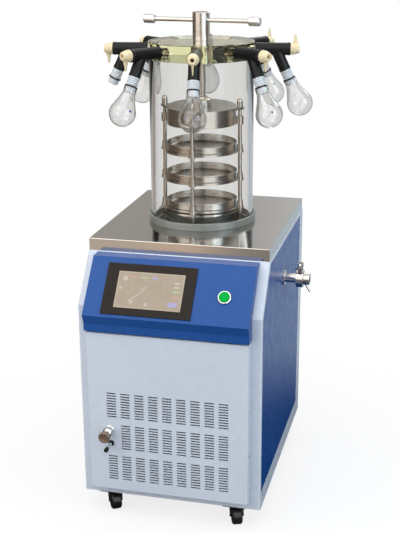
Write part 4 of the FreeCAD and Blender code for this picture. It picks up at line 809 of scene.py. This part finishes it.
def looks(nodes, links, path):
    """1 for what the camera sees, straight or through glass, and 1 for what a mirror shows."""
    mirror = linked_math(nodes, links, "GREATER_THAN", path.outputs["Glossy Depth"], 0.5)
    mirrored = linked_math(nodes, links, "MULTIPLY", mirror, path.outputs["Is Glossy Ray"])
    straight = linked_math(nodes, links, "MAXIMUM", path.outputs["Is Camera Ray"],
                           path.outputs["Is Transmission Ray"])
    seen = linked_math(nodes, links, "SUBTRACT", straight, mirrored)
    return linked_math(nodes, links, "MAXIMUM", seen, 0.0), mirrored


def floor():
    """A wide pale floor, white where it is looked at, that keeps the object's shadow; mirrors see the
    studio ring glowing in it, with a painted shadow that darkens it near the object.
    """
    shape = bmesh.new()
    reach = 60
    corners = [shape.verts.new((x * reach, y * reach, 0))
               for x, y in ((-1, -1), (1, -1), (1, 1), (-1, 1))]
    shape.faces.new(corners)
    material = bpy.data.materials.new("floor")
    material.use_nodes = True
    nodes, links = material.node_tree.nodes, material.node_tree.links
    shader = nodes["Principled BSDF"]
    path = nodes.new("ShaderNodeLightPath")
    pale = nodes.new("ShaderNodeMix")
    pale.data_type = "RGBA"
    pale.inputs[6].default_value = (0.42, 0.42, 0.43, 1)
    pale.inputs[7].default_value = (0.9, 0.9, 0.9, 1)
    links.new(path.outputs["Is Camera Ray"], pale.inputs[0])
    links.new(pale.outputs[2], shader.inputs["Base Color"])
    shader.inputs["Roughness"].default_value = 0.9
    shader.inputs["Specular IOR Level"].default_value = 0.0
    white = nodes.new("ShaderNodeEmission")
    white.inputs["Strength"].default_value = 1.0
    seen, mirrored = looks(nodes, links, path)
    place = nodes.new("ShaderNodeNewGeometry").outputs["Position"]
    distance = nodes.new("ShaderNodeVectorMath")
    distance.operation = "LENGTH"
    links.new(place, distance.inputs[0])
    # painted shadow: within 0.4 m of the object the studio that mirrors see in the floor fades nearly to
    # black, standing in for the object's shadow; the same fade lets the floor turn flat white to the
    # camera further out
    near = nodes.new("ShaderNodeMapRange")
    near.interpolation_type = "SMOOTHSTEP"
    for key, value in (("From Min", 0.4), ("From Max", 1.0), ("To Min", 0.04), ("To Max", 1.0)):
        near.inputs[key].default_value = value
    links.new(distance.outputs["Value"], near.inputs["Value"])
    whiter = linked_math(nodes, links, "MULTIPLY_ADD", near.outputs["Result"], 0.2, 0.8)
    surface = blended(nodes, links, linked_math(nodes, links, "MULTIPLY", seen, whiter),
                      shader.outputs["BSDF"], white.outputs["Emission"])
    # the floor's glow in mirrors: the studio ring, dimmed near the object by the painted shadow above
    glow = nodes.new("ShaderNodeEmission")
    links.new(studio_ring(nodes, links, place), glow.inputs["Color"])
    links.new(near.outputs["Result"], glow.inputs["Strength"])
    surface = blended(nodes, links, mirrored, surface, glow.outputs["Emission"])
    links.new(surface, nodes["Material Output"].inputs["Surface"])
    mesh = bpy.data.meshes.new("floor")
    shape.to_mesh(mesh)
    shape.free()
    mesh.materials.append(material)
    ground = bpy.data.objects.new("floor", mesh)
    scene.collection.objects.link(ground)


def sky():
    """A white room to the camera and through glass, the studio in gloss, and soft grey as light."""
    world = bpy.data.worlds.new("room")
    scene.world = world
    world.use_nodes = True
    nodes, links = world.node_tree.nodes, world.node_tree.links
    light = nodes["Background"]
    light.inputs["Color"].default_value = (0.94, 0.97, 1.0, 1)
    light.inputs["Strength"].default_value = 0.42
    white = nodes.new("ShaderNodeBackground")
    white.inputs["Color"].default_value = (1, 1, 1, 1)
    ring = nodes.new("ShaderNodeBackground")
    place = nodes.new("ShaderNodeTexCoord").outputs["Generated"]
    links.new(studio_ring(nodes, links, place), ring.inputs["Color"])
    path = nodes.new("ShaderNodeLightPath")
    seen, mirrored = looks(nodes, links, path)
    surface = blended(nodes, links, seen, light.outputs["Background"], white.outputs["Background"])
    surface = blended(nodes, links, mirrored, surface, ring.outputs["Background"])
    links.new(surface, nodes["World Output"].inputs["Surface"])


def lamp(name, place, target, size, power, tint=(1, 1, 1)):
    """A rectangular soft lamp aimed at a point; size in metres and power in watts."""
    data = bpy.data.lights.new(name, "AREA")
    data.shape = "RECTANGLE"
    data.size, data.size_y = size
    data.energy = power
    data.color = tint
    thing = bpy.data.objects.new(name, data)
    scene.collection.objects.link(thing)
    thing.location = place
    thing.visible_camera = False
    thing.rotation_euler = (Vector(target) - Vector(place)).to_track_quat("-Z", "Y").to_euler()


# the camera's place in millimetres and its turns in degrees, in the cabinet's own frame
CAMERA_PLACE = Vector((592.9, -2350.0, 1324.5))
CAMERA_YAW, CAMERA_PITCH, CAMERA_ROLL = 14.08, 18.08, -0.38
LENS, SENSOR = 71.1, 36


def camera():
    """The photograph's view."""
    yaw, pitch, roll = (math.radians(turn) for turn in (CAMERA_YAW, CAMERA_PITCH, CAMERA_ROLL))
    ahead = Vector((-math.sin(yaw) * math.cos(pitch), math.cos(yaw) * math.cos(pitch),
                    -math.sin(pitch)))
    right = ahead.cross(Vector((0, 0, 1))).normalized()
    up = right.cross(ahead)
    right, up = (math.cos(roll) * right + math.sin(roll) * up,
                 math.cos(roll) * up - math.sin(roll) * right)
    data = bpy.data.cameras.new("camera")
    data.sensor_width = SENSOR
    data.lens = LENS
    thing = bpy.data.objects.new("camera", data)
    scene.collection.objects.link(thing)
    turn = Matrix((right, up, -ahead)).transposed().to_4x4()
    thing.matrix_world = at(CABINET + CAMERA_PLACE * MM) @ turn
    scene.camera = thing


floor()
sky()
lamp("key", (-1.3, -2.2, 2.5), (0, 0, 0.6), (5.0, 4.2), 95)
lamp("top", (0, -0.1, 2.9), (0, 0, 0.6), (3.2, 3.0), 28)
lamp("fill", (2.6, -1.2, 1.8), (0, 0, 0.6), (1.6, 2.0), 36, (0.72, 0.88, 1))
lamp("back", (0.6, 2.2, 2.4), (0, 0, 0.9), (2.0, 1.0), 16)
camera()
scene.view_settings.view_transform = "Standard"
